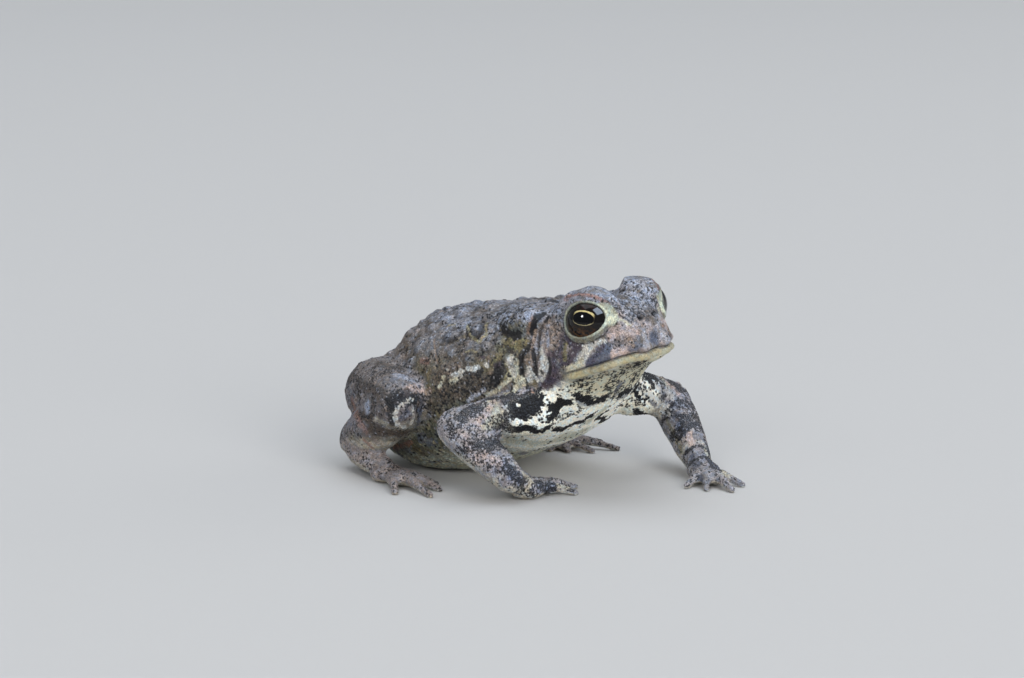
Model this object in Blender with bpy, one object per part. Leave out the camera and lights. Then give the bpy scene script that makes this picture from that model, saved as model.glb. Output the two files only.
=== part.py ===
"""A life-size American toad sitting alert on flat ground, as separate closed solids.

The toad faces -Y, +Z is up and X = 0 is its middle plane. All sizes below are in
millimetres; the last step scales the finished solids to metres. Each form is laid up
from lofts, tubes and ellipsoids, fused into one smooth skin and thinned, and is then
parted from its neighbours by cuts as wide as GAP.
"""

import math
import random

import bmesh
import bpy
import numpy as np
from mathutils import Matrix, Vector

# Fit and mesh sizes
MM = 0.001
GAP = 0.3
VOXEL = 0.5
LIMB_VOXEL = 0.42
FLOOR_BAND = 0.08
SEED = 11

# Head frame: the point midway between the eyes, and the pitch of the raised snout
HEAD_CENTRE = (-0.95, -19.9, 31.6)
HEAD_PITCH = math.radians(17)
HEAD_ROLL = math.radians(-4)
MOUTH_LEVEL = -8.0
JAW_BACK = -5.0
NECK_BACK = -10.6

# Eyes, lids and ears, in the head frame
EYE_RADIUS = 4.5
EYE_SIDE = 5.75
EYE_FORWARD = -0.2
EYE_UP = -0.3
GAZE_FORWARD = math.radians(16)
GAZE_UP = math.radians(10)
BROW_SIDE = 4.6
BROW_UP = 0.5
BROW_SIZE = (4.4, 5.1, 4.6)
LID_SHELL = 0.85
LID_LONG = 4.25
LID_HIGH = 3.3
LID_THICK = 0.7
LID_OPENING = (4.0, 2.95)
EAR_RADIUS = 1.7
EAR_AT = (10.9, -8.6, -0.9)
NOSTRIL_AT = (2.5, 5.8, -1.9)
NOSTRIL_RADIUS = 0.5
CREST_RADIUS = 0.7
LIP_RADIUS = 0.75
CREST_PATH = ((3.9, 3.6, 2.4), (4.6, 0.0, 3.9), (4.9, -4.6, 4.0), (8.8, -6.2, 2.0))

# Trunk stations: distance back along Y, sideways shift, half width, underside, back
TRUNK = (
    (-16.5, 0.0, 11.2, 15.3, 30.8),
    (-12.0, 0.0, 13.4, 10.4, 32.6),
    (-6.5, 0.0, 15.2, 6.9, 32.6),
    (0.0, -0.3, 16.8, 3.7, 31.4),
    (7.0, -0.8, 17.6, 1.0, 30.5),
    (14.0, -1.4, 17.0, -0.3, 29.6),
    (19.0, -2.0, 15.4, -0.4, 28.0),
    (22.5, -2.6, 13.4, 0.3, 24.8),
    (27.0, -3.2, 10.4, 2.2, 20.0),
    (31.0, -3.8, 6.6, 5.0, 15.6),
    (33.5, -4.1, 3.2, 7.4, 12.4),
)

# Head stations in the head frame: forward, lip half width, brow half width, crown,
# mouth level, chin
HEAD = (
    (-13.0, 13.0, 9.6, 3.6, -9.4, -17.5),
    (-8.5, 12.7, 9.2, 3.9, -8.8, -16.0),
    (-4.8, 12.0, 8.3, 3.7, -7.8, -13.2),
    (-1.5, 11.0, 7.2, 3.4, -7.7, -11.0),
    (1.5, 9.7, 6.1, 2.5, -7.6, -10.1),
    (4.0, 8.0, 4.9, 1.0, -7.45, -9.8),
    (5.8, 6.0, 3.8, -0.7, -7.5, -9.6),
    (6.6, 3.9, 2.9, -2.2, -7.8, -9.3),
    (6.95, 1.8, 1.5, -4.2, -8.0, -9.0),
)

# Glands and large warts on the back
GLAND_AT = (9.8, -5.4, 29.6)
GLAND_SIZE = (3.3, 5.7, 2.3)
WART_COUNT = 30
WART_RADIUS = (1.4, 2.5)
WART_HEIGHT = 0.42

# Arms and legs: joint centres for the right (-X) and the left (+X) side
ARMS = {
    "right": {
        "shoulder": (-11.6, -11.0, 14.6),
        "elbow": (-22.6, -2.6, 12.0),
        "wrist": (-20.2, -12.3, 4.3),
        "heading": 2.0,
    },
    "left": {
        "shoulder": (12.0, -11.5, 14.6),
        "elbow": (23.2, -12.0, 11.4),
        "wrist": (18.2, -22.2, 3.4),
        "heading": -124.0,
    },
}
LEGS = {
    "right": {
        "groin": (-6.8, 29.0, 11.6),
        "hip": (-13.2, 25.4, 13.3),
        "knee": (-21.4, 13.4, 13.9),
        "heel": (-17.6, 27.4, 5.2),
        "instep": (-21.4, 17.2, 2.3),
        "heading": -102.0,
    },
    "left": {
        "groin": (0.6, 29.2, 11.6),
        "hip": (7.6, 25.6, 13.3),
        "knee": (19.4, 14.6, 13.7),
        "heel": (13.0, 28.0, 5.2),
        "instep": (18.8, 18.4, 2.3),
        "heading": -76.0,
    },
}
UPPER_ARM_RADII = (4.4, 3.7, 3.5)
FOREARM_RADII = (3.6, 3.6, 3.1, 2.7)
THIGH_RADII = (5.4, 6.5, 5.7, 4.3)
SHANK_RADII = (4.2, 4.6, 3.2)
TARSUS_RADII = (3.0, 2.4, 2.1)
KNEE_SIZE = (4.5, 4.8, 5.7)
PALM_REACH = 4.8
PALM_SIZE = (3.7, 3.0, 1.9)
SOLE_SIZE = (3.4, 3.2, 1.6)
# Each digit: spread in degrees from the heading, length, root radius
FINGERS = ((50.0, 5.6, 1.15), (17.0, 6.4, 1.2), (-12.0, 8.4, 1.25), (-44.0, 6.4, 1.15))
TOES = (
    (46.0, 5.6, 1.05),
    (28.0, 8.2, 1.15),
    (11.0, 11.2, 1.2),
    (-7.0, 14.2, 1.25),
    (-30.0, 10.2, 1.15),
)
DIGIT_TIP = 0.74
WEB_SHARE = 0.42

# Triangles kept on each form after fusing
TRUNK_TRIANGLES = 5200
ARM_TRIANGLES = 1000
LEG_TRIANGLES = 1300
EYE_SEGMENTS = 16
EYE_RINGS = 10
SHARP_ANGLE = math.radians(50)


def clear_scene():
    for obj in list(bpy.data.objects):
        bpy.data.objects.remove(obj)


def curve_through(points, steps):
    """Catmull-Rom samples through points of any width, steps to a span."""
    p = [np.array(q, float) for q in points]
    p = [2 * p[0] - p[1], *p, 2 * p[-1] - p[-2]]
    out = []
    for a, b, c, d in zip(p, p[1:], p[2:], p[3:]):
        for k in range(steps):
            t = k / steps
            out.append(
                0.5 * (2 * b + (c - a) * t + (2 * a - 5 * b + 4 * c - d) * t * t
                       + (3 * b - a - 3 * c + d) * t ** 3)
            )
    out.append(p[-2])
    return out


def side_sign(side):
    return -1.0 if side == "right" else 1.0


# Shapes: each adds closed shells to a bmesh


def add_rings(bm, rings):
    """Skins a list of rings of points, and closes both ends with a fan."""
    loops = [[bm.verts.new(p) for p in ring] for ring in rings]
    count = len(loops[0])
    for low, high in zip(loops, loops[1:]):
        for k in range(count):
            n = (k + 1) % count
            bm.faces.new((low[k], low[n], high[n], high[k]))
    for loop, flip in ((loops[0], True), (loops[-1], False)):
        middle = bm.verts.new(sum((v.co for v in loop), Vector()) / count)
        for k in range(count):
            n = (k + 1) % count
            trio = (loop[n], loop[k], middle) if flip else (loop[k], loop[n], middle)
            bm.faces.new(trio)


def add_ellipsoid(bm, centre, size, turn=None, detail=3):
    turn = turn or Matrix.Identity(3)
    made = bmesh.ops.create_icosphere(bm, subdivisions=detail, radius=1.0)
    for v in made["verts"]:
        v.co = Vector(centre) + turn @ Vector(a * b for a, b in zip(v.co, size))


def add_tube(bm, points, radii, steps=6, sides=14):
    """A round limb through points, its radius eased from one radius to the next."""
    share = np.linspace(0, 1, len(points))
    widths = np.interp(share, np.linspace(0, 1, len(radii)), radii)
    path = curve_through([(*p, r) for p, r in zip(points, widths)], steps)
    rings = []
    up = Vector((0.31, 0.17, 0.93))
    for k, q in enumerate(path):
        before, after = path[max(k - 1, 0)], path[min(k + 1, len(path) - 1)]
        along = Vector(after[:3] - before[:3]).normalized()
        across = along.cross(up).normalized()
        up = across.cross(along).normalized()
        angles = [2 * math.pi * s / sides for s in range(sides)]
        at, wide = Vector(q[:3]), float(q[3])
        rings.append([at + wide * (across * math.cos(a) + up * math.sin(a)) for a in angles])
    add_rings(bm, rings)
    for end in (path[0], path[-1]):
        add_ellipsoid(bm, end[:3], (end[3],) * 3, detail=2)


# From shells to one smooth skin


def skin_of(name, bm, voxel, rounds, triangles):
    """Fuses the shells, smooths them with little shrinking and thins the mesh."""
    bmesh.ops.recalc_face_normals(bm, faces=bm.faces)
    mesh = bpy.data.meshes.new(name)
    bm.to_mesh(mesh)
    bm.free()
    obj = bpy.data.objects.new(name, mesh)
    bpy.context.scene.collection.objects.link(obj)
    remesh = obj.modifiers.new("fuse", "REMESH")
    remesh.mode = "VOXEL"
    remesh.voxel_size = voxel
    settle(obj)
    smooth(obj, rounds)
    press_flat(obj, 0.0)
    faces = sum(len(p.vertices) - 2 for p in obj.data.polygons)
    thin = obj.modifiers.new("thin", "DECIMATE")
    thin.ratio = min(1.0, triangles / faces)
    settle(obj)
    press_flat(obj, FLOOR_BAND)
    keep_largest(obj)
    return obj


def press_flat(obj, band):
    """Sets every point lower than band on the floor, so it rests on small flats."""
    co = points_of(obj)
    co[co[:, 2] < band, 2] = 0.0
    put_points(obj, co)


def points_of(obj):
    co = np.empty(len(obj.data.vertices) * 3, np.float32)
    obj.data.vertices.foreach_get("co", co)
    return co.reshape(-1, 3).astype(float)


def put_points(obj, co):
    obj.data.vertices.foreach_set("co", co.astype(np.float32).ravel())
    obj.data.update()


def smooth(obj, rounds, shrink=0.5, swell=-0.52):
    """Taubin smoothing: a pull to the neighbours' mean, then nearly as large a push."""
    co = points_of(obj)
    ends = np.empty(len(obj.data.edges) * 2, np.int32)
    obj.data.edges.foreach_get("vertices", ends)
    a, b = ends.reshape(-1, 2).T
    count = np.bincount(np.concatenate([a, b]), minlength=len(co))[:, None]
    for k in range(2 * rounds):
        mean = np.zeros_like(co)
        np.add.at(mean, a, co[b])
        np.add.at(mean, b, co[a])
        co += (swell if k % 2 else shrink) * (mean / count - co)
    put_points(obj, co)


def settle(obj):
    """Applies the object's modifiers."""
    graph = bpy.context.evaluated_depsgraph_get()
    mesh = bpy.data.meshes.new_from_object(obj.evaluated_get(graph))
    mesh.name = obj.name
    obj.modifiers.clear()
    obj.data = mesh


def pieces_of(bm):
    """Groups of faces that hang together, largest first."""
    left = set(bm.faces)
    groups = []
    while left:
        stack = [left.pop()]
        group = set(stack)
        while stack:
            for edge in stack.pop().edges:
                for face in edge.link_faces:
                    if face in left:
                        left.discard(face)
                        group.add(face)
                        stack.append(face)
        groups.append(group)
    return sorted(groups, key=len, reverse=True)


def keep_largest(obj):
    bm = bmesh.new()
    bm.from_mesh(obj.data)
    groups = pieces_of(bm)
    scraps = [face for group in groups[1:] for face in group]
    bmesh.ops.delete(bm, geom=scraps, context="FACES")
    loose = [v for v in bm.verts if not v.link_faces]
    bmesh.ops.delete(bm, geom=loose, context="VERTS")
    bm.to_mesh(obj.data)
    bm.free()


def copy_of(obj, name):
    other = obj.copy()
    other.data = obj.data.copy()
    other.name = name
    bpy.context.scene.collection.objects.link(other)
    return other


def combine(obj, tool, operation):
    """One Boolean with tool, which is then removed."""
    before = obj.data.copy()
    for solver in ("EXACT", "MANIFOLD"):
        obj.data = before.copy()
        step = obj.modifiers.new("join", "BOOLEAN")
        step.operation = operation
        step.solver = solver
        step.object = tool
        settle(obj)
        if len(obj.data.polygons):
            break
    bpy.data.objects.remove(tool)


def grown(obj, by):
    """A copy of obj whose surface is moved out by that much."""
    other = copy_of(obj, obj.name + "_grown")
    bm = bmesh.new()
    bm.from_mesh(other.data)
    bm.normal_update()
    moves = [v.normal * by for v in bm.verts]
    for v, move in zip(bm.verts, moves):
        v.co += move
    bm.to_mesh(other.data)
    bm.free()
    return other


def object_of(name, bm):
    bmesh.ops.recalc_face_normals(bm, faces=bm.faces)
    if bm.calc_volume(signed=True) < 0:
        bmesh.ops.reverse_faces(bm, faces=bm.faces)
    mesh = bpy.data.meshes.new(name)
    bm.to_mesh(mesh)
    bm.free()
    obj = bpy.data.objects.new(name, mesh)
    bpy.context.scene.collection.objects.link(obj)
    return obj


def trim(obj, *others):
    """Cuts obj back to GAP from each of the whole forms, and drops loose scraps."""
    for other in others:
        combine(obj, grown(other, GAP), "DIFFERENCE")
    keep_largest(obj)


def slab(point, normal, size, thick=GAP):
    bm = bmesh.new()
    bmesh.ops.create_cube(bm, size=1.0)
    turn = Vector(normal).to_track_quat("Z", "Y").to_matrix()
    for v in bm.verts:
        v.co = Vector(point) + turn @ Vector((v.co.x * size, v.co.y * size, v.co.z * thick))
    return object_of("slab", bm)


def part_at(obj, cutter, names, test):
    """Cuts obj with a thin cutter, and names the two halves by test(middle)."""
    combine(obj, cutter, "DIFFERENCE")
    bm = bmesh.new()
    bm.from_mesh(obj.data)
    sides = {}
    for group in pieces_of(bm)[:2]:
        middle = sum((f.calc_center_median() for f in group), Vector()) / len(group)
        sides[bool(test(middle))] = {f.index for f in group}
    bm.free()
    made = []
    for name, kept in zip(names, (sides[True], sides[False])):
        other = copy_of(obj, name)
        bm = bmesh.new()
        bm.from_mesh(other.data)
        gone = [f for f in bm.faces if f.index not in kept]
        bmesh.ops.delete(bm, geom=gone, context="FACES")
        loose = [v for v in bm.verts if not v.link_faces]
        bmesh.ops.delete(bm, geom=loose, context="VERTS")
        bm.to_mesh(other.data)
        bm.free()
        made.append(other)
    bpy.data.objects.remove(obj)
    return made


# Head frame


def head_turn():
    """Columns: the head's left, backwards and up directions in the toad's frame."""
    return Matrix.Rotation(HEAD_ROLL, 3, "Y") @ Matrix.Rotation(-HEAD_PITCH, 3, "X")


def in_head(side, forward, up):
    return Vector(HEAD_CENTRE) + head_turn() @ Vector((side, -forward, up))


def head_section(forward, lip, brow, crown, mouth, chin):
    """A head section from crown to chin, as a closed ring."""
    half = (
        (0.0, crown),
        (brow * 0.62, crown - 0.1),
        (brow, crown - 1.5),
        (0.5 * (brow + lip) + 0.5, 0.5 * (crown + mouth) - 0.6),
        (lip, mouth + 1.0),
        (lip * 0.96, mouth - 1.0),
        (lip * 0.74, 0.4 * mouth + 0.6 * chin),
        (lip * 0.4, 0.08 * mouth + 0.92 * chin),
        (0.0, chin),
    )
    corners = list(half) + [(-x, u) for x, u in half[-2:0:-1]]
    around = corners[-1:] + corners + corners[:2]
    ring = curve_through(around, 3)[3:3 * len(corners) + 3]
    return [in_head(x, forward, u) for x, u in ring]


def add_head(bm):
    stations = curve_through(HEAD, 3)
    add_rings(bm, [head_section(*s) for s in stations])


def add_lips(bm):
    """A rounded rim along each jaw, either side of the mouth line."""
    rows = [s for s in HEAD if s[0] >= JAW_BACK]
    for lift, inset, radius in ((0.8, 0.35, LIP_RADIUS), (-0.8, 0.6, LIP_RADIUS)):
        right = [(max(s[1] - inset, 0.9), s[0] - inset * s[0] / 9.0, s[4] + lift) for s in rows]
        arc = [in_head(x, f, u) for x, f, u in right]
        arc.append(in_head(0.0, HEAD[-1][0] - inset, HEAD[-1][4] + lift))
        arc += [in_head(-x, f, u) for x, f, u in right[::-1]]
        add_tube(bm, arc, (radius,) * 3, steps=3, sides=8)


def eye_axes(sign):
    """The eye's centre, and its directions outward, forward and up, in the toad's frame."""
    flat = math.cos(GAZE_UP)
    out = Vector(
        (sign * math.cos(GAZE_FORWARD) * flat, -math.sin(GAZE_FORWARD) * flat, math.sin(GAZE_UP))
    )
    ahead = Vector((-sign * math.sin(GAZE_FORWARD), -math.cos(GAZE_FORWARD), 0.0))
    above = Vector(out.cross(ahead))
    if above.z < 0:
        above = -above
    turn = head_turn()
    centre = in_head(sign * EYE_SIDE, EYE_FORWARD, EYE_UP)
    return centre, turn @ out, turn @ ahead, turn @ above


def add_eye_bulges(bm):
    """Brow, a thin lid shell over each eyeball and a rounded rim about its opening."""
    turn = head_turn()
    for sign in (-1.0, 1.0):
        add_ellipsoid(bm, in_head(sign * BROW_SIDE, EYE_FORWARD - 0.3, BROW_UP), BROW_SIZE, turn)
        centre, out, ahead, above = eye_axes(sign)
        add_ellipsoid(bm, centre, (EYE_RADIUS + LID_SHELL,) * 3)
        rim = []
        for k in range(17):
            a = 2 * math.pi * k / 16
            along = LID_LONG / EYE_RADIUS * math.cos(a)
            upward = LID_HIGH / EYE_RADIUS * math.sin(a)
            depth = math.sqrt(1 - along ** 2 - upward ** 2)
            ray = out * depth + ahead * along + above * upward
            rim.append(centre + ray * (EYE_RADIUS + GAP))
        add_tube(bm, rim, (LID_THICK,) * 2, steps=2, sides=8)


def lid_cutter(sign):
    """An oval bar along the gaze that opens the lid shell."""
    centre, out, ahead, above = eye_axes(sign)
    long_half, high_half = LID_OPENING
    rings = []
    for reach in (0.5, 9.0):
        angles = [2 * math.pi * k / 28 for k in range(28)]
        middle = centre + out * reach
        rings.append(
            [middle + ahead * (long_half * math.cos(a)) + above * (high_half * math.sin(a))
             for a in angles]
        )
    bm = bmesh.new()
    add_rings(bm, rings)
    return object_of("opening", bm)


def add_crests(bm):
    """The bony ridge inside each eyelid, turned outward behind the eye."""
    for sign in (-1.0, 1.0):
        add_tube(bm, [in_head(sign * x, f, u) for x, f, u in CREST_PATH], (CREST_RADIUS,) * 2)


def add_glands_and_warts(bm):
    rng = random.Random(SEED)
    for sign in (-1.0, 1.0):
        x, y, z = GLAND_AT
        lean = Matrix.Rotation(sign * math.radians(35), 3, "Y")
        tilt = Matrix.Rotation(math.radians(-14), 3, "X")
        add_ellipsoid(bm, (sign * x, y, z), GLAND_SIZE, lean @ tilt)
    stations = curve_through(TRUNK, 6)
    rows = [s for s in stations if 1.0 < s[0] < 30.0]
    for k in range(WART_COUNT):
        back, shift, half, low, high = rows[int((k * 0.618 % 1.0) * len(rows))]
        angle = math.radians(90 + rng.uniform(-78, 78))
        radius = rng.uniform(*WART_RADIUS) * (0.6 + 0.4 * math.sin(angle))
        middle = 0.5 * (low + high)
        point = (
            shift + half * math.cos(angle) * 0.95,
            back + rng.uniform(-1.5, 1.5),
            middle + (high - middle) * math.sin(angle) * 0.96,
        )
        add_ellipsoid(bm, point, (radius, radius, radius * WART_HEIGHT), detail=2)


def trunk_section(back, shift, half, low, high):
    """A full round back over a flatter belly."""
    middle = low + 0.46 * (high - low)
    ring = []
    for k in range(36):
        a = 2 * math.pi * k / 36
        c, s = math.cos(a), math.sin(a)
        power = 0.92 if s > 0 else 0.74
        reach = (high - middle) if s > 0 else (middle - low)
        x = math.copysign(abs(c) ** power, c) * half
        z = math.copysign(abs(s) ** power, s) * reach
        ring.append(Vector((shift + x, back, middle + z)))
    return ring


def make_trunk():
    bm = bmesh.new()
    add_rings(bm, [trunk_section(*s) for s in curve_through(TRUNK, 5)])
    add_head(bm)
    add_lips(bm)
    add_eye_bulges(bm)
    add_crests(bm)
    add_glands_and_warts(bm)
    return skin_of("trunk", bm, VOXEL, 3, TRUNK_TRIANGLES)


# Limbs


def digit_fan(bm, root, heading, digits, sign, lift=0.55):
    """Digits that leave root and lie along the ground, each with a swollen tip."""
    for spread, length, radius in digits:
        a = math.radians(heading - sign * spread)
        way = Vector((math.cos(a), math.sin(a), 0.0))
        points = [root + way * (0.8 + length * t) for t in (0.0, 0.45, 0.8, 1.0)]
        for point, z in zip(points, (root.z, radius * 1.3, radius * 0.78, DIGIT_TIP * lift)):
            point.z = z
        add_tube(bm, points, (radius, radius * 0.86, DIGIT_TIP * 0.92, DIGIT_TIP), 4, 10)
        knuckle = points[0].lerp(points[1], 0.75)
        add_ellipsoid(bm, knuckle, (radius * 1.12,) * 3, detail=2)


def arm_form(side):
    pose, sign = ARMS[side], side_sign(side)
    shoulder, elbow, wrist = (Vector(pose[k]) for k in ("shoulder", "elbow", "wrist"))
    a = math.radians(pose["heading"])
    way = Vector((math.cos(a), math.sin(a), 0.0))
    palm = wrist + way * PALM_REACH
    palm.z = 1.7
    bm = bmesh.new()
    bend = elbow + (elbow - (shoulder + wrist) * 0.5).normalized() * 0.4
    add_tube(bm, [shoulder, shoulder.lerp(elbow, 0.5) + Vector((0, 0, 0.4)), bend], UPPER_ARM_RADII)
    add_tube(bm, [bend, bend.lerp(wrist, 0.35), bend.lerp(wrist, 0.8), wrist], FOREARM_RADII)
    add_tube(bm, [wrist, palm], (2.5, 1.9))
    turn = Matrix.Rotation(a, 3, "Z")
    add_ellipsoid(bm, palm, PALM_SIZE, turn)
    digit_fan(bm, palm + way * 1.5, pose["heading"], FINGERS, sign)
    return skin_of("arm_" + side, bm, LIMB_VOXEL, 2, ARM_TRIANGLES)


def leg_form(side):
    """Thigh, shank and foot folded on each other, fused at the knee and the heel."""
    pose, sign = LEGS[side], side_sign(side)
    groin, hip, knee, heel, instep = (
        Vector(pose[k]) for k in ("groin", "hip", "knee", "heel", "instep")
    )
    a = math.radians(pose["heading"])
    way = Vector((math.cos(a), math.sin(a), 0.0))
    sole = instep + way * 2.0
    sole.z = 1.3
    bm = bmesh.new()
    above, below = knee + Vector((0, 0, 1.2)), knee - Vector((0, 0, 1.6))
    middle = hip.lerp(above, 0.5) + Vector((0, 0, 0.6))
    add_tube(bm, [groin, hip, middle, above], THIGH_RADII)
    add_ellipsoid(bm, knee, KNEE_SIZE)
    calf = below.lerp(heel, 0.45) + Vector((sign * 0.8, 0, -0.2))
    add_tube(bm, [below, calf, heel], SHANK_RADII)
    outer = heel.lerp(instep, 0.5) + Vector((sign * 1.2, 0, -0.3))
    add_tube(bm, [heel, outer, instep], TARSUS_RADII)
    add_tube(bm, [instep, sole], (2.1, 1.8))
    add_ellipsoid(bm, sole, SOLE_SIZE, Matrix.Rotation(a, 3, "Z"))
    root = sole + way * 0.8
    digit_fan(bm, root, pose["heading"], TOES, sign)
    add_web(bm, root, pose["heading"], sign)
    return skin_of("leg_" + side, bm, LIMB_VOXEL, 2, LEG_TRIANGLES)


def add_web(bm, root, heading, sign):
    """Low webs that join the roots of neighbouring toes."""
    for (s1, l1, _), (s2, l2, _) in zip(TOES, TOES[1:]):
        a = math.radians(heading - sign * 0.5 * (s1 + s2))
        reach = WEB_SHARE * min(l1, l2)
        way = Vector((math.cos(a), math.sin(a), 0.0))
        middle = root + way * (0.5 * reach + 0.6)
        middle.z = 0.75
        turn = Matrix.Rotation(a, 3, "Z")
        add_ellipsoid(bm, middle, (0.5 * reach + 1.0, 1.3, 0.55), turn, detail=2)


# Cuts that part the trunk


def jaw_cutter():
    """A sheet that follows the mouth line and turns down behind the jaw."""
    level = [(s[0], s[4]) for s in HEAD if s[0] > JAW_BACK]
    line = [(JAW_BACK, -26.0), (JAW_BACK, level[0][1]), *level, (16.0, level[-1][1] + 0.2)]
    half = GAP / 2
    upper = [(f - half, u + (half if k else 0)) for k, (f, u) in enumerate(line)]
    lower = [(f + half, u - (half if k else 0)) for k, (f, u) in enumerate(line)]
    outline = upper + lower[::-1]
    bm = bmesh.new()
    sides = [[bm.verts.new(in_head(x, f, u)) for f, u in outline] for x in (-17.0, 17.0)]
    bm.faces.new(sides[0])
    bm.faces.new(sides[1][::-1])
    count = len(outline)
    for k in range(count):
        n = (k + 1) % count
        bm.faces.new((sides[0][k], sides[1][k], sides[1][n], sides[0][n]))
    bmesh.ops.triangulate(bm, faces=bm.faces)
    return object_of("mouth_cut", bm)


def ball(name, centre, size, turn=None, detail=2):
    bm = bmesh.new()
    add_ellipsoid(bm, centre, size, turn, detail)
    return object_of(name, bm)


def carve(obj, name, centre, size, turn):
    """Lifts an ellipsoid's share of obj out as its own node, GAP from the rest."""
    piece = copy_of(obj, name)
    combine(piece, ball("inner", centre, size, turn), "INTERSECT")
    keep_largest(piece)
    wider = [s + GAP for s in size]
    combine(obj, ball("outer", centre, wider, turn), "DIFFERENCE")
    keep_largest(obj)
    return piece


def make_eye(side):
    sign = side_sign(side)
    bm = bmesh.new()
    bmesh.ops.create_uvsphere(bm, u_segments=EYE_SEGMENTS, v_segments=EYE_RINGS, radius=EYE_RADIUS)
    at = in_head(sign * EYE_SIDE, EYE_FORWARD, EYE_UP)
    bmesh.ops.translate(bm, verts=bm.verts, vec=at)
    return object_of("eye_" + side, bm)


def part_trunk(trunk):
    """Parts the trunk into torso, head, jaw, ear discs and shoulder glands."""
    nodes = []
    turn = head_turn()
    for side in ("right", "left"):
        sign = side_sign(side)
        eye = make_eye(side)
        nodes.append(eye)
        combine(trunk, ball("socket", in_head(sign * EYE_SIDE, EYE_FORWARD, EYE_UP),
                            (EYE_RADIUS + 1.3 * GAP,) * 3), "DIFFERENCE")
        combine(trunk, lid_cutter(sign), "DIFFERENCE")
        x, f, u = NOSTRIL_AT
        combine(trunk, ball("nostril", in_head(sign * x, f, u), (NOSTRIL_RADIUS,) * 3, detail=2),
                "DIFFERENCE")
        x, f, u = EAR_AT
        ear_size = (1.3, EAR_RADIUS, EAR_RADIUS * 1.15)
        nodes.append(carve(trunk, "ear_" + side, in_head(sign * x, f, u), ear_size, turn))
        x, y, z = GLAND_AT
        size = [s + 0.5 for s in GLAND_SIZE]
        lean = Matrix.Rotation(sign * math.radians(35), 3, "Y")
        tilt = Matrix.Rotation(math.radians(-14), 3, "X")
        nodes.append(carve(trunk, "parotoid_" + side, (sign * x, y, z), size, lean @ tilt))
    keep_largest(trunk)
    neck_point = in_head(0, NECK_BACK, 0)
    neck_way = head_turn() @ Vector((0, 1, 0))
    torso, skull = part_at(
        trunk, slab(neck_point, neck_way, 80), ("torso", "skull"),
        lambda p: (p - neck_point).dot(neck_way) > 0,
    )
    jaw, head = part_at(
        skull, jaw_cutter(), ("lower_jaw", "head"),
        lambda p: (head_turn().transposed() @ (p - Vector(HEAD_CENTRE))).z < MOUTH_LEVEL,
    )
    return [torso, jaw, head, *nodes]


def joint_cut(obj, joint, before, after, names, shift=0.0):
    """Parts a limb at a joint, square to the fold between the two bones."""
    joint, before, after = Vector(joint), Vector(before), Vector(after)
    way = ((joint - before).normalized() + (after - joint).normalized()).normalized()
    at = joint + way * shift
    return part_at(obj, slab(at, way, 60), names, lambda p: (p - at).dot(way) < 0)


def make_limbs(trunk):
    """Arms and legs, cut back from the trunk and parted at their joints."""
    nodes = []
    for side in ("right", "left"):
        pose = ARMS[side]
        arm = arm_form(side)
        trim(arm, trunk)
        upper, lower = joint_cut(
            arm, pose["elbow"], pose["shoulder"], pose["wrist"], ("upper_arm_" + side, "lower")
        )
        straight = 2 * Vector(pose["wrist"]) - Vector(pose["elbow"])
        forearm, hand = joint_cut(
            lower, pose["wrist"], pose["elbow"], straight, ("forearm_" + side, "hand_" + side), -0.8
        )
        pose = LEGS[side]
        leg = leg_form(side)
        trim(leg, trunk)
        thigh, lower = joint_cut(
            leg, pose["knee"], pose["hip"], pose["heel"], ("thigh_" + side, "lower")
        )
        shank, foot = joint_cut(
            lower, pose["heel"], pose["knee"], pose["instep"], ("shank_" + side, "foot_" + side)
        )
        nodes += [upper, forearm, hand, thigh, shank, foot]
    return nodes


# Colours: cool grey-brown back, cream and charcoal underside, dark eye

SKIN_COLOURS = {
    "head": (0.24, 0.19, 0.17),
    "lower_jaw": (0.46, 0.41, 0.30),
    "torso": (0.21, 0.18, 0.15),
    "parotoid": (0.25, 0.20, 0.18),
    "ear": (0.22, 0.17, 0.14),
    "arm": (0.27, 0.23, 0.22),
    "leg": (0.23, 0.19, 0.17),
}
EYE_COLOUR = (0.02, 0.013, 0.008)


def colour_for(name):
    if name.startswith("eye"):
        return EYE_COLOUR
    for key in ("head", "lower_jaw", "torso", "parotoid", "ear"):
        if name.startswith(key):
            return SKIN_COLOURS[key]
    is_arm = name.startswith(("upper_arm", "forearm", "hand"))
    return SKIN_COLOURS["arm" if is_arm else "leg"]


def dress(obj):
    material = bpy.data.materials.new(obj.name + "_finish")
    material.use_nodes = True
    shader = material.node_tree.nodes["Principled BSDF"]
    shader.inputs["Base Color"].default_value = (*colour_for(obj.name), 1.0)
    shader.inputs["Roughness"].default_value = 0.08 if obj.name.startswith("eye") else 0.62
    shader.inputs["Metallic"].default_value = 0.0
    obj.data.materials.clear()
    obj.data.materials.append(material)


def plan_centre(nodes):
    """The middle of all the nodes together in plan, at floor level."""
    co = np.concatenate([points_of(node) for node in nodes])
    x, y, _ = 0.5 * (co.min(axis=0) + co.max(axis=0))
    return Vector((x, y, 0.0))


def to_metres(obj, centre):
    obj.data.transform(Matrix.Scale(MM, 4) @ Matrix.Translation(-centre))
    obj.data.shade_smooth()
    obj.data.set_sharp_from_angle(angle=SHARP_ANGLE)


def main():
    clear_scene()
    trunk = make_trunk()
    nodes = make_limbs(trunk) + part_trunk(trunk)
    centre = plan_centre(nodes)
    for node in nodes:
        dress(node)
        to_metres(node, centre)
    print("plan centre before the shift, mm:", [round(c, 2) for c in centre])


main()
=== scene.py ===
# %% [markdown]
# # A sitting toad, dressed around its solid model
# The solid model gives the toad's size, pose and main forms. Here one skin is drawn over its
# flesh, with warts, granules, folds and markings, and each eyeball gets its iris and cornea.
# All lengths below are in millimetres until the last step of each piece turns them into metres.

# %% Load the solid model
import math
import random

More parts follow.
